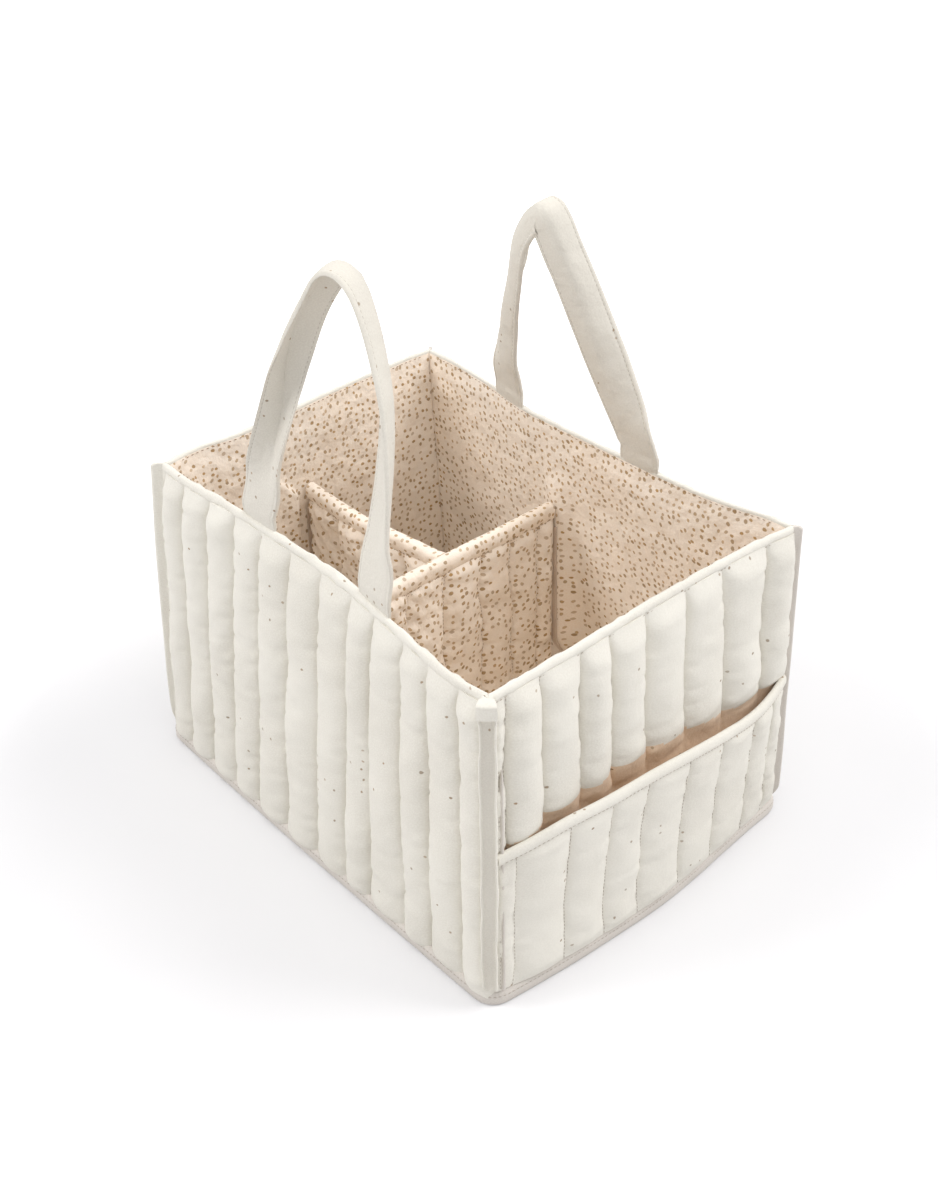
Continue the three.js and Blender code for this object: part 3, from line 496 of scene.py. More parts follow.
def channels(seams, heights, puff, rng, crinkle, wander=1.4, steps=14, top_ramp=13, foot_ramp=12,
             pleated=()):
    """The quilting between upright seams: the place along and how far out the cloth is, by row and column.

    seams are places in millimetres; the two outermost stay straight and the others wander a little.
    The cloth is drawn flat over the ramps at the foot and the top. pleated lists the bays that are drawn
    into level pleats, each with the end that the pleats start from."""
    rows = len(heights)
    bays = len(seams) - 1
    sway = soft_noise(rng, rows, len(seams), 5, len(seams) - 1) * wander
    sway += soft_noise(rng, rows, len(seams), 17, len(seams) - 1) * wander * 0.35
    sway[:, [0, -1]] = 0
    lines = np.array(seams) + sway
    share = np.linspace(0, 1, steps + 1)
    share = 0.5 * share + 0.5 * (0.5 - 0.5 * np.cos(math.pi * share))
    # Full wadding gives each channel steep sides and a round back.
    crest = (4 * share * (1 - share)) ** 0.58
    height = np.asarray(heights)[:, None]
    ramp = (0.14 + 0.86 * smooth((height - height[0]) / foot_ramp) ** 0.6) \
        * (0.22 + 0.78 * smooth((height[-1] - height) / top_ramp) ** 0.7)
    along, out = [], []
    fullness = puff * (1 + 0.22 * soft_noise(rng, rows, bays, 5, max(bays - 1, 1)))
    waves = rows // 3
    for k in range(bays):
        width = seams[k + 1] - seams[k]
        last = k == bays - 1
        part = share if last else share[:-1]
        profile = crest if last else crest[:-1]
        here = lines[:, k, None] * (1 - part) + lines[:, k + 1, None] * part
        # A narrow channel can't stand out as far as a wide one.
        narrow = min(1, (width / 24) ** 0.8)
        bulge = fullness[:, k, None] * profile * narrow
        # Gathers: short hollows that run across each seam where the thread pulls the cloth in.
        near_first = np.exp(-part * width / 5.5)
        near_last = np.exp(-(1 - part) * width / 5.5)
        gathers = soft_noise(rng, rows, 2, waves, 1)
        pull = np.minimum(gathers[:, :1], 0) * near_first + np.minimum(gathers[:, 1:], 0) * near_last
        bulge = bulge + pull * 1.5 * crinkle * np.minimum(profile * 2.2, 1)
        # Slack: slow dents across the padding.
        bulge = bulge + profile * crinkle * (
            0.55 * soft_noise(rng, rows, len(part), rows // 8, 2)
            + 0.25 * soft_noise(rng, rows, len(part), rows // 4, 4)
        )
        for bay, from_last in pleated:
            if bay == k:
                away = ((1 - part) if from_last else part) * width
                pleats = soft_noise(rng, rows, 2, rows // 5, 1)[:, :1]
                bulge = bulge + 1.5 * pleats * np.exp(-away / 8) * np.minimum(profile * 2.5, 1)
        along.append(here)
        out.append(np.maximum(bulge * ramp, 0))
    return np.concatenate(along, 1), np.concatenate(out, 1), lines


def puckers(rng, rows_up, along, top_reach=13, foot_reach=9, pitch=5.5):
    """Small upright pleats where the topstitching draws the cloth in, near the top edge and the foot."""
    width = along[0, -1] - along[0, 0]
    waves = max(int(width / pitch), 2)
    knots = np.linspace(along[0, 0], along[0, -1], waves + 1)
    top = np.interp(along, knots, rng.uniform(-1, 1, waves + 1))
    foot = np.interp(along, knots, rng.uniform(-1, 1, waves + 1))
    height = np.asarray(rows_up)[:, None]
    return 0.55 * top * np.exp(-(height[-1] - height) / top_reach) + 0.5 * foot * np.exp(
        -(height - height[0]) / foot_reach)


PANEL_FOOT = 2.3
PANEL_TOP = 227.8
PANEL_DEPTH = 2.0
PUFF = 7.9
SEAM_PLACES = {
    "front": [0, 4, 27.5, 54.5, 81, 108.5, 139.5, 171.5, 202.5, 226.5, 257.5, 283.5, 311.5, 333],
    "right": [0, 11.6, 37.8, 68, 93.7, 121.9, 156.2, 190.9, 225.9, 251],
    "back": [0, 24, 51, 80, 107, 135, 163, 191, 219, 246, 274, 301, 325, 346],
    "left": [0, 26, 53, 81, 108, 136, 163, 190, 217, 241.5],
}
# Bays beside the near corner that are drawn into level pleats, and whether these start from their last seam.
PLEATED_BAYS = {"front": [(12, True), (11, True)], "right": [(0, False), (1, False)]}
# The height of each pocket's mouth, by share along the wall.
POCKET_MOUTH = {
    "right": [(0, 121), (0.08, 126), (0.15, 130), (0.3, 131.8), (0.47, 131.6), (0.57, 128.6), (0.67, 124.4),
              (0.83, 117.6), (0.93, 118), (1, 120)],
    "left": [(0, 118), (0.2, 123), (0.5, 125), (0.8, 122), (1, 119)],
}
# Behind a pocket the padding is pressed to this share of its depth, and it fills out above this height.
POCKET_PRESS = 0.2
FILLS_FROM = 108
wall_rows = np.linspace(PANEL_FOOT, PANEL_TOP, 122)
for number, side in enumerate(SIDES):
    rng = np.random.default_rng(100 + number)
    length = wall_length(side)
    places = np.array(SEAM_PLACES[side], float)
    places[-1] = length
    along, out, lines = channels(places, wall_rows, PUFF, rng, crinkle=1.5,
                                 pleated=PLEATED_BAYS.get(side, ()))
    out = np.maximum(out + puckers(rng, wall_rows, along) * smooth(out / 2), 0)
    heights = wall_rows[:, None]
    share = along / length
    faced = None
    if side in POCKET_MOUTH:
        # The channels end in soft folds at the pocket's mouth.
        folds = soft_noise(rng, *out.shape, 40, len(places) * 2) * np.exp(-((heights - 116) / 11) ** 2)
        fullness = POCKET_PRESS + (1 - POCKET_PRESS) * smooth((heights - FILLS_FROM) / 26)
        out = np.maximum(out * fullness + 0.9 * folds * smooth(out / 2), 0)
        # Below the pocket's mouth the wall takes the beige cotton as painted shade, for the warm shade inside
        # the pocket.
        faced = (heights < through(POCKET_MOUTH[side], share) - 1) & (np.abs(share - 0.5) < 0.47)
    panel = wall_sheet(side + "_wall_panel_quilted", side, share, along, heights, out, -PANEL_DEPTH,
                       [outer_cotton, pocket_facing_and_painted_shade_cotton], shift=(0.41 * number, 0.17 * number), faced=faced)
    fit(panel, "caddy", side + "_wall_panel")
    # The thread sinks into the wadding. It shows at the foot of each seam, and all the way up the first two
    # of an end wall.
    seam_ends = [on_wall(side, lines[5:10, k] / length, wall_rows[5:10], 0.7)
                 for k in range(1, len(places) - 1)]
    # The brown thread is painted shade: the dark dashes at the foot of each seam.
    stitches(side + "_wall_seam_ends", seam_ends, "caddy", length=2.4, radius=0.28, material=brown_thread_painted_shade)
    if side in POCKET_MOUTH:
        seam_runs = [on_wall(side, lines[:, k] / length, wall_rows, 0.4) for k in (1, 2)]
        stitches(side + "_wall_seam_stitches", seam_runs, "caddy")


# Inside each wall a flat grey board keeps it upright. It is loose between the panel and the lining.
# Its top edge is cut away where the ends of the straps are sewn in.
BOARD_DEPTH = 2.3
BOARD_THICKNESS = 2.0
BOARD_FOOT = 3.0
# Each strap's stations part it in ten from its left foot: along, up and inward from the middle of its hinge
# line, the turn of the strap about its own line and the fold along its middle, in degrees.
HANDLES = {
    "front": {
        "offset": 0, "spacing": 120, "hinge_y": -112.638,
        "stations": [
            (-60, 0, 0, 0, 0), (-54, 34, 2, 8, 32), (-47, 70, 4, 30, 46), (-42, 104, 5, 68, 46),
            (-28.5, 138, 5, 96, 34), (-4, 169.5, 5.5, 88, 26), (21, 164, 6, 54, 25),
            (45.5, 121, 6, 42, 21), (56, 80.5, 3.5, 32, 18), (59, 39, 1.5, 20, 14), (60, 0, 0, 0, 0),
        ],
    },
    "back": {
        "offset": -12, "spacing": 128, "hinge_y": 113.657,
        "stations": [
            (-64, 0, 0, 0, 0), (-61, 31, 2.5, 18, 16), (-52.5, 64, 2, 34, 28), (-41, 96, 0.5, 50, 32),
            (-29, 130, -0.5, 54, 34), (-7.5, 151, -1.5, 54, 38), (10.5, 122, -0.5, 48, 35),
            (26.5, 86, 0, 37, 30), (41, 50, 0, 21, 22), (57, 17, 0, 6, 8), (64, 0, 0, 0, 0),
        ],
    },
}
STRAP_WIDTH = 33
TAIL_FOOT = 192
board_material, board_output = new_material("grey_millboard")
board_tree = board_material.node_tree
board_place = add_node(board_tree, "TexCoord")
board_noise = add_node(board_tree, "TexNoise", {"Vector": board_place.outputs["Object"],
                                                "Scale": every(3.333), "Detail": 4.0})
board_colour = add_node(board_tree, "Mix", {0: board_noise.outputs[0], 6: linear("#C4BFB5"),
                                            7: linear("#ADA89D")}, data_type="RGBA")
board_shader = add_node(board_tree, "BsdfPrincipled", {"Base Color": board_colour.outputs[2],
                                                       "Roughness": 0.75})
board_tree.links.new(board_shader.outputs[0], board_output.inputs["Surface"])


def share_at(side, place):
    """The share along a long wall whose rim has this x."""
    first, last = (RIM_CORNERS[c][0] for c in WALLS[side]["corners"])
    return (place - first) / (last - first)


def strap_places(side):
    """The x of the middle of each foot of the wall's strap."""
    handle = HANDLES[side]
    return [handle["offset"] - handle["spacing"] / 2, handle["offset"] + handle["spacing"] / 2]


for side in SIDES:
    length = wall_length(side)
    share = np.linspace(0.012, 0.988, 141)
    top = np.full(len(share), PANEL_TOP - 0.5)
    if side in HANDLES:
        for place in strap_places(side):
            near = np.abs(share - share_at(side, place)) * length < STRAP_WIDTH / 2 + 3
            top[near] = TAIL_FOOT - 2
    heights = BOARD_FOOT + (top[None, :] - BOARD_FOOT) * np.linspace(0, 1, 30)[:, None]
    board = wall_sheet(side + "_wall_board_sheet", side, share, share * length, heights, -BOARD_DEPTH,
                       -BOARD_DEPTH - BOARD_THICKNESS, [board_material])
    fit(board, "caddy", side + "_wall_board")


# The lining is one layer of printed cotton on each wall, warm beige with a dense scatter of ochre ovals.
# It is sewn in at the rim and at the corners, and stands a little slack between them.
lining_cotton = weave_material(
    "woven_cotton_beige_print", "#FBF1E4", "#F5E6D4", ("#B58D4C", "#9F8052"),
    dot_cell=5.7, dot_size=3.0, dot_share=0.88, cluster=0.14, nap=0.2, crumple=1.0,
)
LINING_DEPTH = 4.6
LINING_THICKNESS = 1.4
LINING_FOOT = 2.7
LINING_TOP = 230.2
INSIDE = LINING_DEPTH + LINING_THICKNESS
# The insert lifts straight out past the narrow rim, so its ends are upright and the leaning walls part from
# them. There the hook tape draws the lining in to meet it. Each place is along the wall.
CROSS_X = -27
HELD_AT = {
    "front": CROSS_X - RIM_CORNERS["front_left"][0],
    "back": RIM_CORNERS["back_right"][0] - CROSS_X,
    "left": RIM_CORNERS["back_left"][1] + 4,
}
NARROWEST = 229
# The fold beside the long divider: how high its top starts, how steeply that rises, its width and its depth.
FOLD_START = 166
FOLD_SLOPE = 0.95
FOLD_WIDTH = 22
FOLD_DEPTH = 6


def end_line(side, height):
    """How far in from the lining the insert's upright end is at a height."""
    share = HELD_AT[side] / wall_length(side)
    axis = 0 if side == "left" else 1
    there = on_wall(side, share, height, -INSIDE)[..., axis]
    return np.abs(there - on_wall(side, share, NARROWEST, -INSIDE)[..., axis]) / MM


def drawn_in(side, along, height):
    """How far the lining is drawn in at a place along a wall and a height."""
    if side not in HELD_AT:
        return np.zeros(np.broadcast(along, height).shape)
    reach = np.exp(-(np.maximum(np.abs(along - HELD_AT[side]) - 3, 0) / 9) ** 2)
    return end_line(side, height) * reach * smooth((height - 14) / 40) * smooth((205 - height) / 30)


for number, side in enumerate(SIDES):
    rng = np.random.default_rng(200 + number)
    length = wall_length(side)
    rows, columns = 100, 140
    share = np.linspace(0, 1, columns)
    along = share * length
    heights = np.linspace(LINING_FOOT, LINING_TOP, rows)[:, None]
    edge = smooth(np.minimum(share, 1 - share) * length / 16)
    slack = edge * smooth((PANEL_TOP - heights) / 18) * (
        1.3 * soft_noise(rng, rows, columns, 4, 6) + 0.7 * soft_noise(rng, rows, columns, 10, 12)
        + 0.5 * soft_noise(rng, rows, columns, 24, 30) + 0.5
    )
    gathers = 1 + soft_noise(rng, rows, columns, 2, 36)
    loose = np.clip(slack + 0.7 * smooth(1 - np.abs(PANEL_TOP - 9 - heights) / 8) * gathers, -0.2, 3)
    if side in HELD_AT:
        loose = loose * smooth((np.abs(along - HELD_AT[side]) - 8) / 14)
    inside = INSIDE + loose + drawn_in(side, along, heights)
    # Its top edge is turned over the roll.
    inside = inside - 1.5 * smooth((heights - PANEL_TOP + 1) / 4)
    if side == "left":
        # The hook tape of the long divider draws the cloth into a fold from its top corner.
        away = along - HELD_AT["left"] - 8
        below = smooth((FOLD_START + FOLD_SLOPE * away - heights) / 6) * smooth((heights - 40) / 90)
        drawn = smooth((away - 3) / 3) * np.exp(-((away - 3) / FOLD_WIDTH) ** 2)
        inside = inside + FOLD_DEPTH * drawn * below
    lining = wall_sheet(side + "_lining_cloth", side, share, along, heights, -inside + LINING_THICKNESS,
                        -inside, [lining_cotton], shift=(0.31 * number, 0.23 * number))
    fit(lining, "caddy", side + "_lining")


# The rim of each wall is the outer cotton rolled over the wadding and topstitched through to the lining.
# The roll is a little lumpy, and the stitch line pulls a groove just below it.
def swept(name, rings, materials, shift, closed=False, face_material=None):
    """A piece swept along stations, each a ring of points in metres, with a cloth map by length.

    face_material gives each station and point of the ring the slot of the face that starts there."""
    rings = np.asarray(rings, float)
    stations, around = rings.shape[:2]
    points = rings.reshape(-1, 3)
    step = np.linalg.norm(np.diff(rings.mean(1), axis=0), axis=1)
    along = np.concatenate([[0], np.cumsum(step)])
    girth = np.linalg.norm(np.diff(np.concatenate([rings, rings[:, :1]], 1), axis=1), axis=2).mean(0)
    across = np.concatenate([[0], np.cumsum(girth)])
    faces, uvs, slots = [], [], []
    for i in range(stations if closed else stations - 1):
        nxt = (i + 1) % stations
        end = along[-1] + 0.001 if closed and nxt == 0 else along[nxt]
        for j in range(around):
            k = (j + 1) % around
            faces.append((i * around + j, i * around + k, nxt * around + k, nxt * around + j))
            uvs += [(across[j], along[i]), (across[j + 1], along[i])]
            uvs += [(across[j + 1], end), (across[j], end)]
            slots.append(0 if face_material is None else face_material[i][j])
    if not closed:
        for i, order in ((0, range(around - 1, -1, -1)), (stations - 1, range(around))):
            order = list(order)
            faces.append(tuple(i * around + j for j in order))
            uvs += [(across[j], along[i]) for j in order]
            slots.append(0)
    return mesh_piece(name, points, faces, materials, np.array(uvs) + shift, slots)


RIM_SECTION = [(0.1, -5.2), (1.0, -4.2), (1.3, -2.8), (1.0, -1.3), (0.1, -0.3), (-1.2, 0.2), (-2.6, 0.2),
               (-3.7, -0.3), (-4.3, -1.2), (-4.4, -2.8), (-4.3, -4.2), (-4.0, -5.2)]
RIM_LUMPS = {"front": 0.75, "right": 0.45, "back": 0.45, "left": 0.45}
RIM_STITCHES_AT = 226.7
INNER_STITCHES_AT = 229.7
for number, side in enumerate(SIDES):
    rng = np.random.default_rng(300 + number)
    length = wall_length(side)
    count = 180
    share = np.linspace(0, 1, count)
    from_seam, up = np.array(RIM_SECTION).T
    lump = soft_noise(rng, count, len(up), 44, 3) * RIM_LUMPS[side]
    fade = smooth(np.minimum(share, 1 - share) * length / 6)
    outs = from_seam + np.sign(from_seam + 2.7) * lump
    outs = np.where(outs > 0, outs * (0.35 + 0.65 * fade[:, None]), outs)
    tops = CADDY_HEIGHT + up + (up > -4) * lump
    roll = swept(side + "_rim_edge_roll", on_wall(side, share[:, None], tops, outs), [outer_cotton],
                 shift=(0.7 + 0.2 * number, 0.05))
    fit(roll, "caddy", side + "_rim_edge")
    if side != "front":
        stitches(side + "_rim_topstitch", [on_wall(side, share[3:-3], RIM_STITCHES_AT, 0.9)], "caddy",
                 radius=0.26)
    # The brown thread of the inner topstitch is painted shade along the rim.
    stitches(side + "_rim_inner_topstitch", [on_wall(side, share[5:-5], INNER_STITCHES_AT, -INSIDE)], "caddy",
             pitch=4.2, radius=0.28, material=brown_thread_painted_shade)


# Each corner of the caddy is bound by a folded strip of the outer cotton that stands out from the seam.
# The near one is pressed open into two leaves with a hollow between; the others stand out as a flat fin.
BINDING_FOOT = 12
BINDING_TOP = 231.9


def mirrored(half):
    """The whole of a section that is alike on both sides, from its left half with the middle point."""
    return half + [(-across, out) for across, out in half[-2::-1]]


OPEN_SECTION = mirrored([(-3.2, -2.0), (-3.5, 0.6), (-4.7, 1.5), (-5.1, 3.0), (-5.1, 4.7), (-4.7, 5.4),
                         (-4.2, 5.3), (-3.9, 4.4), (-3.5, 3.3), (-2.4, 2.8), (0, 2.6)])
# Points of the open section between which it is the bottom of the hollow.
HOLLOW = (8, 12)
FIN_SECTION = mirrored([(-1.6, -2.5), (-1.3, 0.05), (-1.1, 0.45), (-1.5, 0.75), (-1.1, 0.93), (0.0, 1.0)])
# How far each fin stands out, from its foot up.
FIN_REACH = {
    "front_left": [(12, 1.0), (22, 3.0), (45, 4.8), (87, 6.2), (150, 7.7), (232, 8.2)],
    "back_right": [(12, 3.8), (40, 4.5), (100, 4.4), (170, 4.5), (232, 4.6)],
    "back_left": [(12, 4.6), (40, 5.4), (100, 5.6), (170, 5.7), (232, 5.8)],
}
TAB_FOOT = 220.5
for number, (corner, plan) in enumerate(RIM_CORNERS.items()):
    rng = np.random.default_rng(400 + number)
    pressed_open = corner == "front_right"
    half_width, stand = np.array(OPEN_SECTION if pressed_open else FIN_SECTION).T
    # The stations lie closer together where the tab is folded.
    heights = np.concatenate([np.linspace(BINDING_FOOT, 217, 80), np.linspace(217.6, BINDING_TOP, 26)])
    count = len(heights)
    diagonal = np.sign(np.array(plan)) / math.sqrt(2)
    across = np.array([-diagonal[1], diagonal[0]])
    end = smooth((heights - BINDING_FOOT) / 9) ** 0.5 * smooth((BINDING_TOP - heights) / 3 + 0.35) ** 0.5
    sway = soft_noise(rng, count, 2, 7, 1) * (0.35, 0.5)
    width = 1 + 0.08 * soft_noise(rng, count, 1, 20, 1)[:, 0]
    base = corner_at(corner, heights, np.zeros(count))
    wide_by = half_width * width[:, None] * (0.55 + 0.45 * end[:, None]) + sway[:, :1]
    out_by = np.broadcast_to(stand, wide_by.shape)
    if pressed_open:
        # The strip's end is folded over its top as a square tab, which hides the hollow.
        tab = smooth((heights - TAB_FOOT) / 0.9)[:, None]
        flat_tab = 6.4 - 0.03 * half_width ** 2
        leaf = out_by + (np.where(out_by > 2, flat_tab, out_by) - out_by) * tab
        out_by = np.where(out_by > 0, leaf * end[:, None] + sway[:, 1:] * 0.5, out_by)
        wide_by = wide_by * (1 + 0.1 * tab)
    else:
        reach = through(FIN_REACH[corner], heights)[:, None]
        out_by = np.where(out_by > 0, out_by * reach * end[:, None] + sway[:, 1:] * 0.4, out_by)
    rings = raised(base[:, None, :] + wide_by[..., None] * across + out_by[..., None] * diagonal,
                   heights[:, None])
    # The two strips at the back are of the pressed cotton of the other bindings, whose greyer tone is painted
    # shade.
    strip_cotton = outer_cotton if corner.startswith("front") else binding_cotton_painted_shade
    # The bottom of the hollow takes the greyer strap cotton as painted shade, so that it is darker than its
    # two edges.
    point = np.arange(len(stand))
    painted_hollow_shade = pressed_open * (heights[:, None] < TAB_FOOT) * ((point >= HOLLOW[0]) & (point < HOLLOW[1]))
    binding = swept(corner + "_corner_strip", rings, [strip_cotton, strap_cotton_painted_shade], shift=(0.3 * number, 0.6),
                    face_material=painted_hollow_shade.astype(int))
    fit(binding, "caddy", corner + "_corner_binding")

# Beside the near corner the binding's raw edge is turned under in a narrow hem, sewn down on the end wall.
HEM_TOP = 183
hem_heights = np.linspace(BINDING_FOOT + 1, HEM_TOP, 80)
hem_out = 5.0 + 0.3 * soft_noise(np.random.default_rng(450), 80, 1, 9, 1)[:, :1]
hem_ring = np.array([(math.cos(a), math.sin(a)) for a in np.linspace(0, 2 * math.pi, 11)[:-1]])
hem_thin = smooth((HEM_TOP + 0.5 - hem_heights) / 12)[:, None] ** 0.5
hem_share = (6.2 + hem_ring[None, :, 0] * hem_thin) / wall_length("right")
hem_stand = hem_out - 1.2 + 1.4 * hem_ring[None, :, 1] * hem_thin
hem = swept("front_right_corner_hem", on_wall("right", hem_share, hem_heights[:, None], hem_stand),
            [binding_cotton_painted_shade], shift=(0.2, 0.8))
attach(hem, "caddy")
hem_run = on_wall("right", 4.6 / wall_length("right"), hem_heights, 3.4)
stitches("front_right_corner_stitches", [hem_run], "caddy", length=1.6, radius=0.22)


# The base is a layer of the outer cotton, a stiff board and a thin loose pad covered in the lining print.
# The cotton and the board are sewn into the base binding; the pad only lies there.
FOOT_LINE = 6.0


def plan_grid(depth, rows, columns):
    """Plan points over the floor of the caddy, inside the walls by a depth, in millimetres."""
    across = np.linspace(0, 1, rows)[:, None, None]
    share = np.linspace(0, 1, columns)
    front = on_wall("front", share, FOOT_LINE, -depth)[:, :2] / MM
    rear = on_wall("back", share[::-1], FOOT_LINE, -depth)[:, :2] / MM
    level = front[None] * (1 - across) + rear[None] * across
    rise = np.linspace(0, 1, rows)
    right = on_wall("right", rise, FOOT_LINE, -depth)[:, :2] / MM
    left = on_wall("left", rise[::-1], FOOT_LINE, -depth)[:, :2] / MM
    along = share[None, :, None]
    straight = level[:, :1] * (1 - along) + level[:, -1:] * along
    ends = left[:, None] * (1 - along) + right[:, None] * along
    return level + (ends - straight)


def base_layer(name, node, depth, bottom, top, material, rng=None, bulge=0.0):
    """One layer of the base between two heights, its top uneven by the bulge where it has random draws."""
    rows, columns = 50, 66
    grid = plan_grid(depth, rows, columns)
    rise = np.full(grid.shape[:2], float(top))
    if rng is not None:
        rise += bulge * soft_noise(rng, rows, columns, 6, 8)
        rise += 0.4 * bulge * soft_noise(rng, rows, columns, 14, 18)
    layer = closed_sheet(name, raised(grid, rise), raised(grid, bottom), grid * MM, [material])
    fit(layer, "caddy", node)
    return layer


base_cloth = base_layer("base_cloth_cotton", "base_cloth", 0.2, 0.0, 1.6, outer_cotton)
base_layer("base_board_sheet", "base_board", 3.0, 2.3, 4.7, board_material)
base_pad = base_layer("base_pad_cover", "base_pad", 7.6, 5.1, 8.1, lining_cotton,
                      rng=np.random.default_rng(500), bulge=0.5)


# Each end has a flat pocket of quilted cotton, faced inside with the beige cotton and sewn in at the corners
# and the base. Its mouth is cut longer than the wall, so it gapes, and it is bound with a folded strip.
POCKET_FOOT = 10.9
POCKET_GAPE = 15
POCKET_LENGTH = 105
POCKET_INSET = 0.012
UNDER_BINDING = 4.5
MOUTH_SECTION = [(-1.6, -7.2), (2.0, -7.0), (2.7, -5.6), (2.9, -3.2), (2.4, -1.0), (1.2, 0.2), (-0.4, 0.2),
                 (-1.7, -0.8), (-2.3, -3.2), (-2.1, -5.6)]
POCKET_SEAMS = {
    "right": [0, 11.5, 47, 79, 107, 144, 178, 212, 236, 251],
    "left": [0, 14, 45, 78, 110, 143, 176, 208, 229, 241.5],
}


def pocket_out(share, rise):
    """How far a pocket stands out from the wall's seams, by share along it and up it."""
    side_fall = smooth(np.minimum(share, 1 - share) / 0.16) ** 0.7
    bow = np.sin(math.pi * share) ** 0.8
    return 1.6 + side_fall * 3.0 + POCKET_GAPE * bow * np.clip(rise, 0, 1) ** 1.6


def pocket_share(place):
    """The share of the wall's length at a share of the pocket's, which stops short of the corners."""
    return POCKET_INSET + (1 - 2 * POCKET_INSET) * place


def pocket_height(mouth, rise):
    """The height at a share of the way up the pocket's panel, which ends inside the binding of the mouth."""
    return POCKET_FOOT + (mouth - UNDER_BINDING - POCKET_FOOT) * rise


for number, side in enumerate(POCKET_SEAMS):
    rng = np.random.default_rng(600 + number)
    length = wall_length(side)
    rows = np.linspace(0, 1, 62)
    seams = np.array(POCKET_SEAMS[side], float)
    seams[-1] = length
    along, out, lines = channels(seams, rows * POCKET_LENGTH, 4.4, rng, wander=1.0, steps=12, top_ramp=10,
                                 foot_ramp=10, crinkle=1.4)
    out = np.maximum(out + puckers(rng, rows * POCKET_LENGTH, along) * smooth(out / 1.5), 0)
    share = pocket_share(along / length)
    heights = pocket_height(through(POCKET_MOUTH[side], share), rows[:, None])
    stand = pocket_out(share, rows[:, None])
    pocket = wall_sheet(side + "_pocket_panel_quilted", side, share, along, heights, stand + out, stand - 1.2,
                        [outer_cotton, pocket_facing_and_painted_shade_cotton], shift=(0.11 + 0.5 * number, 0.9), inner_material=1)
    fit(pocket, "caddy", side + "_pocket_panel")
    runs = []
    for k in range(1, len(seams) - 1):
        seam_share = pocket_share(lines[:, k] / length)
        seam_heights = pocket_height(through(POCKET_MOUTH[side], seam_share), rows)
        runs.append(on_wall(side, seam_share, seam_heights, pocket_out(seam_share, rows) + 0.25))
    stitches(side + "_pocket_seam_stitches", runs, "caddy", pitch=3.0, radius=0.24)

    count = 150
    share = np.linspace(0.01, 0.99, count)
    top = through(POCKET_MOUTH[side], share)
    from_cloth, up = np.array(MOUTH_SECTION).T
    lump = soft_noise(rng, count, len(up), 30, 3) * 0.25
    stand = pocket_out(share, np.ones(count))
    outs = stand[:, None] + from_cloth + lump
    tops = top[:, None] + up + lump * 0.6
    strip = swept(side + "_pocket_mouth_strip", on_wall(side, share[:, None], tops, outs), [outer_cotton],
                  shift=(0.15, 0.35 + 0.3 * number))
    fit(strip, "caddy", side + "_pocket_binding")
    runs = [on_wall(side, share[2:-2], top[2:-2] - 6.2, stand[2:-2] + 2.55)]
    stitches(side + "_pocket_mouth_topstitch", runs, "caddy", pitch=3.0, radius=0.22)


# The base binding is one strip of the outer cotton, folded round the edge of the base and topstitched.
# It covers the raw edges of the walls and of the base cloth all round, and turns softly at the corners.
CORNER_TURN = 11
BASE_SECTION = [(-6.0, 0.1), (2.6, 0.0), (4.2, 0.8), (4.8, 2.6), (4.7, 5.6), (4.3, 8.0), (3.2, 9.8),
                (1.4, 10.6), (-0.4, 10.2), (-1.0, 8.0), (-1.0, 2.4), (-6.0, 1.8)]


def unit(vectors):
    """The vectors at a length of 1."""
    return vectors / np.linalg.norm(vectors, axis=-1)[..., None]


def foot_outline(height, steps=60):
    """The closed outline of the caddy's foot at a height, in millimetres, with rounded corners."""
    found = []
    for side in SIDES:
        length = wall_length(side)
        share = np.linspace(CORNER_TURN / length, 1 - CORNER_TURN / length, steps)
        found.append(on_wall(side, share, height, 0)[:, :2] / MM)
    path = []
    for index, part in enumerate(found):
        path.append(part)
        following = found[(index + 1) % 4]
        corner = corner_at(WALLS[SIDES[index]]["corners"][1], height, 0.0)
        t = np.linspace(0, 1, 12)[1:-1, None]
        path.append((1 - t) ** 2 * part[-1] + 2 * t * (1 - t) * corner + t * t * following[0])
    return np.concatenate(path)


outline = foot_outline(FOOT_LINE)
ahead = unit(np.roll(outline, -1, 0) - np.roll(outline, 1, 0))
outward = np.stack([ahead[:, 1], -ahead[:, 0]], 1)
from_line, up = np.array(BASE_SECTION).T
lump = soft_noise(np.random.default_rng(700), len(outline), len(up), 60, 3) * 0.22
lump[-1] = lump[0]
rings = raised(outline[:, None] + outward[:, None] * (from_line + lump)[..., None],
               np.maximum(up + lump * (up > 4), 0.0))
# The binding cotton's greyer tone is painted shade, for the band that faces down at the foot.
base_binding = swept("base_binding_strip", rings, [binding_cotton_painted_shade], closed=True, shift=(0.4, 0.2))
fit(base_binding, "caddy", "base_binding")
stitches("base_binding_topstitch", [raised(outline + outward * 4.45, 7.6)], "caddy")


# Each handle is one padded strap of the outer cotton. Its ends are sewn in between the wall and the lining.
# It leaves the wall flat, turns a quarter about its own line and folds lengthwise where the hand takes it.
STRAP_THICKNESS = 3.4
STRAP_LEAN = math.radians(9)
HINGE_HEIGHT = 240
STRAP_DEPTH = 3.3
# Half the width and half the thickness are 1. The groove near each edge is where it is topstitched.
STRAP_FACE = mirrored([(-1, 0.3), (-0.985, 0.72), (-0.955, 0.9), (-0.9, 0.9), (-0.86, 0.66), (-0.82, 0.9),
                       (-0.74, 1.04), (-0.4, 1.1), (0, 1.12)])
STRAP_RING = np.array([(a, -b) for a, b in STRAP_FACE] + STRAP_FACE[::-1])
STRAP_GROOVES = (4, 12, 21, 29)
# Stations at each end, the tail and the first stretch above the rim, that show no topstitching.
UNSTITCHED = 33
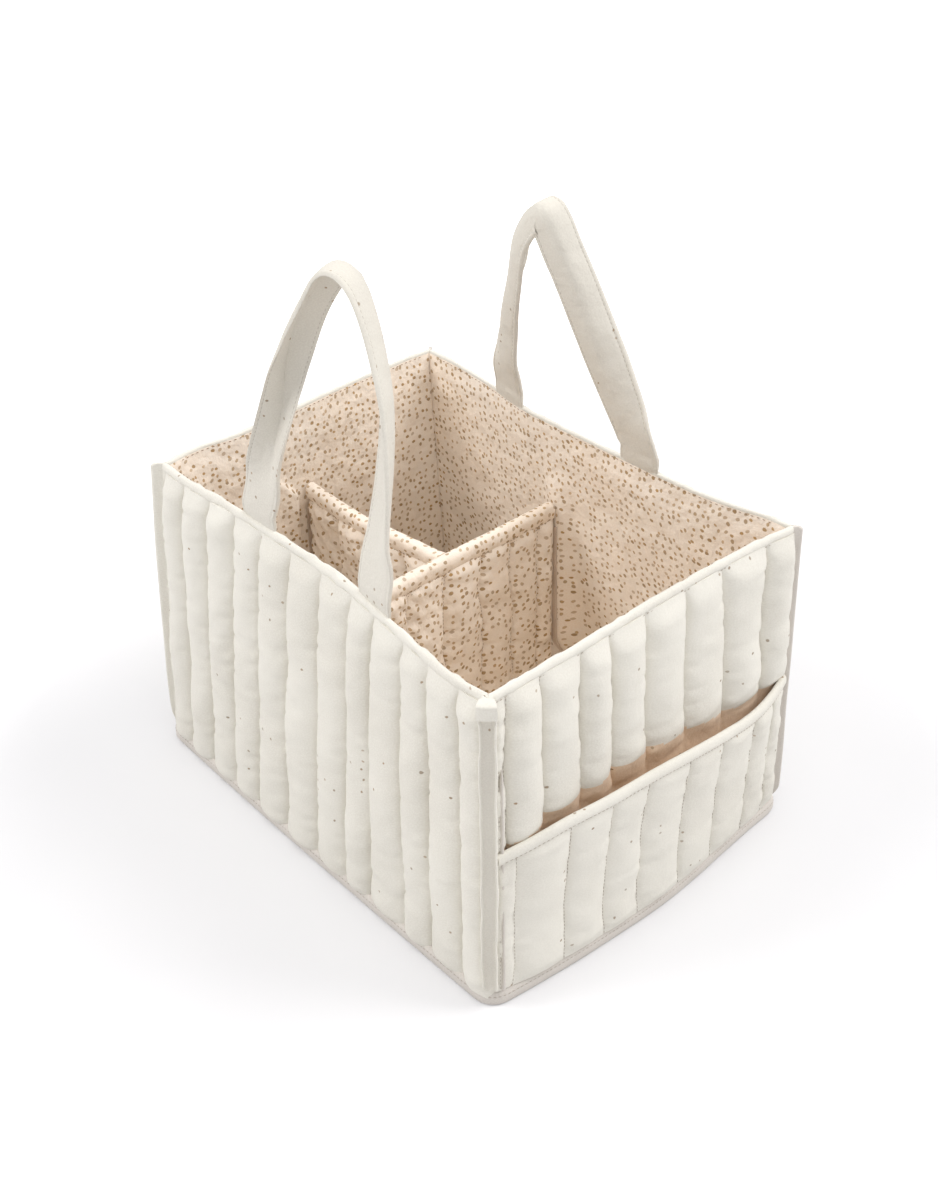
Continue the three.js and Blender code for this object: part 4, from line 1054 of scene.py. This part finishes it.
# The strap stays flat over this share of its run from each foot, and takes up its turn over the next.
FLAT_SHARE = 0.023
TURNING_SHARE = 0.067
for number, (side, handle) in enumerate(HANDLES.items()):
    rng = np.random.default_rng(800 + number)
    inward = 1 if side == "front" else -1
    fine = np.linspace(0, 1, 1601)
    knots = np.linspace(0, 1, len(handle["stations"]))
    line = np.stack([through(list(zip(knots, column)), fine) for column in zip(*handle["stations"])], 1)
    run = np.concatenate([[0], np.cumsum(np.linalg.norm(np.diff(line[:, :3], axis=0), axis=1))])
    even = np.linspace(0, run[-1], 131)
    line = np.stack([np.interp(even, run, column) for column in line.T], 1)
    rows = len(even)
    from_foot = np.minimum(even, run[-1] - even)
    tangent = unit(np.gradient(line[:, :3], axis=0))
    upright_at_foot = np.where(even[:, None] < run[-1] / 2, (0, 1, 0), (0, -1, 0))
    tangent = unit(upright_at_foot + (tangent - upright_at_foot) * smooth(from_foot / 12)[:, None])
    # The first stretch above the rim stays flat, so that the strap can fold out over it.
    turn, fold = np.radians(line[:, 3:]).T * smooth((from_foot / run[-1] - FLAT_SHARE) / TURNING_SHARE)
    inner = unit(np.stack([tangent[:, 1], -tangent[:, 0], 0 * even], 1))
    across = inner * np.cos(turn)[:, None] + np.cross(inner, tangent) * np.sin(turn)[:, None]
    normal = np.cross(tangent, across)
    wide = STRAP_RING[:, 0] * STRAP_WIDTH / 2
    thick = STRAP_RING[:, 1] * STRAP_THICKNESS / 2
    ripple = soft_noise(rng, rows, len(STRAP_RING), 26, 3) * 0.3
    width_change = 1 + 0.03 * soft_noise(rng, rows, 1, 16, 1)[:, :1]
    across_by = wide[None] * width_change * np.cos(fold)[:, None] + ripple * 0.5
    drop = (np.sqrt(wide ** 2 + 4) - STRAP_WIDTH / 4)[None] * np.sin(fold)[:, None]
    normal_by = thick[None] + drop + ripple * 0.5 * np.sign(thick)[None]
    along, up, into = np.moveaxis(
        line[:, None, :3] + across[:, None] * across_by[..., None] + normal[:, None] * normal_by[..., None],
        -1, 0)
    hoop = np.stack([
        handle["offset"] + along,
        handle["hinge_y"] + inward * (up * math.sin(STRAP_LEAN) + into * math.cos(STRAP_LEAN)),
        HINGE_HEIGHT + up * math.cos(STRAP_LEAN) - into * math.sin(STRAP_LEAN),
    ], -1)
    # Below the hinge line the strap follows the wall, pressed thin between the outer cotton and the lining.
    tails = []
    for end, place in enumerate(strap_places(side)):
        down = np.linspace(TAIL_FOOT, HINGE_HEIGHT, 28)[:-1, None]
        hand = (1, -1)[end]
        share = share_at(side, place + hand * wide[None] + 0 * down)
        layer = thick[None] * (0.5 + 0.5 * smooth((down - 228) / 9))
        tail = on_wall(side, share, np.minimum(down, CADDY_HEIGHT), 0.0) / MM
        tail[..., 1] += inward * (STRAP_DEPTH * pressed(down) - layer)
        tail[..., 2] = down
        tails.append(tail)
        # The foot of the hoop is drawn to where the tail ends, and the difference fades out up the strap.
        foot = hoop[0 if end == 0 else -1]
        target = tail[-1] + (0, 0, down[1, 0] - down[0, 0])
        mine = np.arange(rows) < rows / 2 if end == 0 else np.arange(rows) >= rows / 2
        fade = (1 - smooth(from_foot / 60))[:, None, None]
        hoop[mine] += (fade * (target - foot)[None])[mine]
    rings = np.concatenate([tails[0], hoop, tails[1][::-1]])
    seam_lines = [rings[UNSTITCHED:-UNSTITCHED, j] for j in STRAP_GROOVES]
    strap = swept(side + "_handle_strap", rings * MM, [strap_cotton_painted_shade], shift=(0.21 + 0.4 * number, 0.33))
    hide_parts(side + "_handle", side + "_handle_tail_left", side + "_handle_tail_right")
    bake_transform(strap)
    stitches(side + "_handle_topstitch", [line * MM for line in seam_lines], side + "_handle")


# Loop tape on the lining takes the hook tape of the insert: woven nylon with a short looped pile, dyed to the
# lining. It is sewn on upright, behind each end of the dividers.
tape_material, tape_output = new_material("nylon_loop_tape")
tape_tree = tape_material.node_tree
tape_place = add_node(tape_tree, "UVMap", uv_map="cloth")
tape_pile = add_node(tape_tree, "TexNoise", {"Vector": tape_place.outputs[0], "Scale": every(0.7143),
                                             "Detail": 3.0}, noise_dimensions="2D")
tape_colour = add_node(tape_tree, "Mix", {0: tape_pile.outputs[0], 6: linear("#E4D3C2"),
                                          7: linear("#D3BDA8")}, data_type="RGBA")
tape_bump = add_node(tape_tree, "Bump", {"Height": tape_pile.outputs[0], "Strength": 0.7,
                                         "Distance": 0.6 * MM})
tape_shader = add_node(tape_tree, "BsdfPrincipled", {
    "Base Color": tape_colour.outputs[2], "Roughness": 0.9, "Normal": tape_bump.outputs[0],
    "Sheen Weight": 0.3,
})
tape_tree.links.new(tape_shader.outputs[0], tape_output.inputs["Surface"])
LOOP_WIDTH = 7
for side, place in HELD_AT.items():
    length = wall_length(side)
    across = np.linspace(place - LOOP_WIDTH / 2, place + LOOP_WIDTH / 2, 9)
    along, heights = np.meshgrid(across, np.linspace(30, 150, 60))
    under = INSIDE + drawn_in(side, along, heights)
    tape = wall_sheet(side + "_loop_tape_strip", side, along / length, along, heights, -under - 0.2,
                      -under - 1.2, [tape_material])
    fit(tape, "caddy", side + "_loop_tape")


# The insert's cross divider is the lining print on both faces over wadding, quilted in upright channels.
# It reaches from the front lining to the back one, and hook tape on its upright ends holds it there.
DIVIDER_FOOT = 8.6
BAND_HEIGHT = 12
BAND_LAP = 2.5
DIVIDER_HALF = 2.0
# A divider's channels: the heights that they are worked out for, and how soon they reach their depth.
DIVIDER_QUILTING = {"heights": np.linspace(0, 1, 78) * 150, "top_ramp": 8, "foot_ramp": 10}
BAND_SECTION = mirrored([(-3.0, -12.6), (-4.2, -10.2), (-5.1, -6.4), (-4.7, -2.8), (-3.0, -0.6), (0, 0.2)])


def held_line(side, height):
    """The plan place of the insert's upright end at a wall, for each height."""
    place = on_wall(side, HELD_AT[side] / wall_length(side), NARROWEST, -INSIDE - 1.8) / MM
    return np.full_like(height, place[0]), np.full_like(height, place[1])


def plan_of(start, end, bend, share, heights):
    """Plan points and the sideways direction of a divider."""
    a = np.stack(start(heights), -1)
    b = np.stack(end(heights), -1)
    direction = unit(b - a)
    sideways = np.stack([direction[..., 1], -direction[..., 0]], -1)
    return a + (b - a) * share[..., None] + sideways * bend(share)[..., None], sideways


def divider_height(top, rise):
    """The height at a share of the way up a divider, whose top edge lies inside the band."""
    return DIVIDER_FOOT + (top - BAND_HEIGHT + BAND_LAP - DIVIDER_FOOT) * rise


def build_divider(node, start, end, bend, seams, seed, top):
    """The quilted body of a divider, its top band and their stitches.

    start and end give the plan place of each end by height; bend and top go by the share along it."""
    rng = np.random.default_rng(seed)
    along, out_a, lines = channels(seams, puff=5.0, rng=rng, wander=2.2, crinkle=2.4, **DIVIDER_QUILTING)
    _, out_b, _ = channels(seams, puff=2.9, rng=np.random.default_rng(seed + 1), wander=0.0, crinkle=1.2,
                           **DIVIDER_QUILTING)
    share = along / seams[-1]
    rows = np.linspace(0, 1, len(share))
    heights = divider_height(top(share), rows[:, None])
    # Slanting creases near the first end, where the insert is pushed in.
    slant = (along * 0.8 + heights * 0.6) / 9
    creases = 1.1 * np.sin(2 * math.pi * slant + 2 * soft_noise(rng, *along.shape, 6, 6))
    out_a = np.maximum(out_a + creases * smooth((0.55 - share) / 0.2) * smooth(out_a / 2), 0)
    middle, sideways = plan_of(start, end, bend, share, heights)
    face_a = raised(middle + sideways * (DIVIDER_HALF + out_a)[..., None], heights)
    face_b = raised(middle - sideways * (DIVIDER_HALF + out_b)[..., None], heights)
    cloth = np.stack([along, heights], -1) * MM + (0.07 * (seed % 11), 0.03 * (seed % 7))
    body = closed_sheet(node + "_quilted", face_a, face_b, cloth, [lining_cotton])
    fit(body, "divider_insert", node)

    rng = np.random.default_rng(seed + 5)
    count = 110
    share = np.linspace(0.004, 0.996, count)
    crown = top(share)
    half_width, up = np.array(BAND_SECTION).T
    lump = soft_noise(rng, count, len(up), 18, 4) * 0.4
    heights = crown[:, None] + up + lump
    shares = np.broadcast_to(share[:, None], heights.shape)
    middle, sideways = plan_of(start, end, bend, shares, heights)
    widths = half_width * (1 + 0.08 * lump)
    rings = raised(middle + sideways * widths[..., None], heights)
    band = swept(node + "_band_roll", rings, [lining_cotton], shift=(0.9, 0.1 * (seed % 5)))
    fit(band, "divider_insert", node + "_band")
    runs = []
    for drop, hand in ((11.6, 1), (14.0, 1), (11.6, -1)):
        middle, sideways = plan_of(start, end, bend, share, crown - drop)
        runs.append(raised(middle + sideways * hand * 3.75, crown - drop)[3:-3])
    for k in range(1, len(seams) - 1):
        seam_share = lines[:, k] / seams[-1]
        seam_heights = divider_height(top(seam_share), rows)
        middle, sideways = plan_of(start, end, bend, seam_share, seam_heights)
        for hand in (1, -1):
            runs.append(raised(middle + sideways * hand * (DIVIDER_HALF + 0.2), seam_heights))
    # Brown thread as painted shade along the divider's stitch lines.
    stitches(node + "_stitches", runs, "divider_insert", pitch=3.0, length=2.0, radius=0.17,
             material=brown_thread_painted_shade)


build_divider(
    "cross_divider", lambda height: held_line("front", height), lambda height: held_line("back", height),
    bend=lambda share: 0.0 * share, seams=[0, 40, 75, 107, 140, 167, 193, 207], seed=900,
    top=lambda share: through([(0, 168), (0.25, 166.5), (0.5, 167.5), (0.75, 168), (1, 168.5)], share),
)


# The long divider is made like the cross divider and is sewn to its middle. It parts the left half in two.
# It bends a little where the seam draws it towards the back.
LONG_DIVIDER_Y = 11.0


def long_right(height):
    """The plan place of the long divider's end at the cross divider, for each height."""
    return np.full_like(height, CROSS_X - DIVIDER_HALF - 2.6), np.full_like(height, LONG_DIVIDER_Y)


build_divider(
    "long_divider", lambda height: held_line("left", height), long_right,
    bend=lambda share: 3.0 * np.sin(math.pi * np.clip(share, 0, 1)), seams=[0, 33, 66, 98, 129], seed=950,
    top=lambda share: through([(0, 170), (0.35, 166), (0.7, 166), (1, 165)], share),
)


# Hook tape on the three free ends of the insert: stiff nylon with fine hooks, sewn on as an upright strip.
# It faces the loop tape on the wall where that end is held.
for tape_name, node, side in (
    ("cross_front_hook_strip", "cross_divider_front_hook_tape", "front"),
    ("cross_back_hook_strip", "cross_divider_back_hook_tape", "back"),
    ("long_left_hook_strip", "long_divider_left_hook_tape", "left"),
):
    heights = np.linspace(40, 150, 56)
    outward = np.array(WALLS[side]["outward"])
    across = np.linspace(-1.9, 1.9, 5)
    grid = np.stack(held_line(side, heights), -1)[:, None] + np.abs(outward[::-1]) * across[None, :, None]
    cloth = np.stack(np.meshgrid(across, heights), -1) * MM
    strip = closed_sheet(tape_name, raised(grid + outward * 0.2, heights[:, None]),
                         raised(grid - outward * 0.9, heights[:, None]), cloth, [tape_material])
    fit(strip, "divider_insert", node)
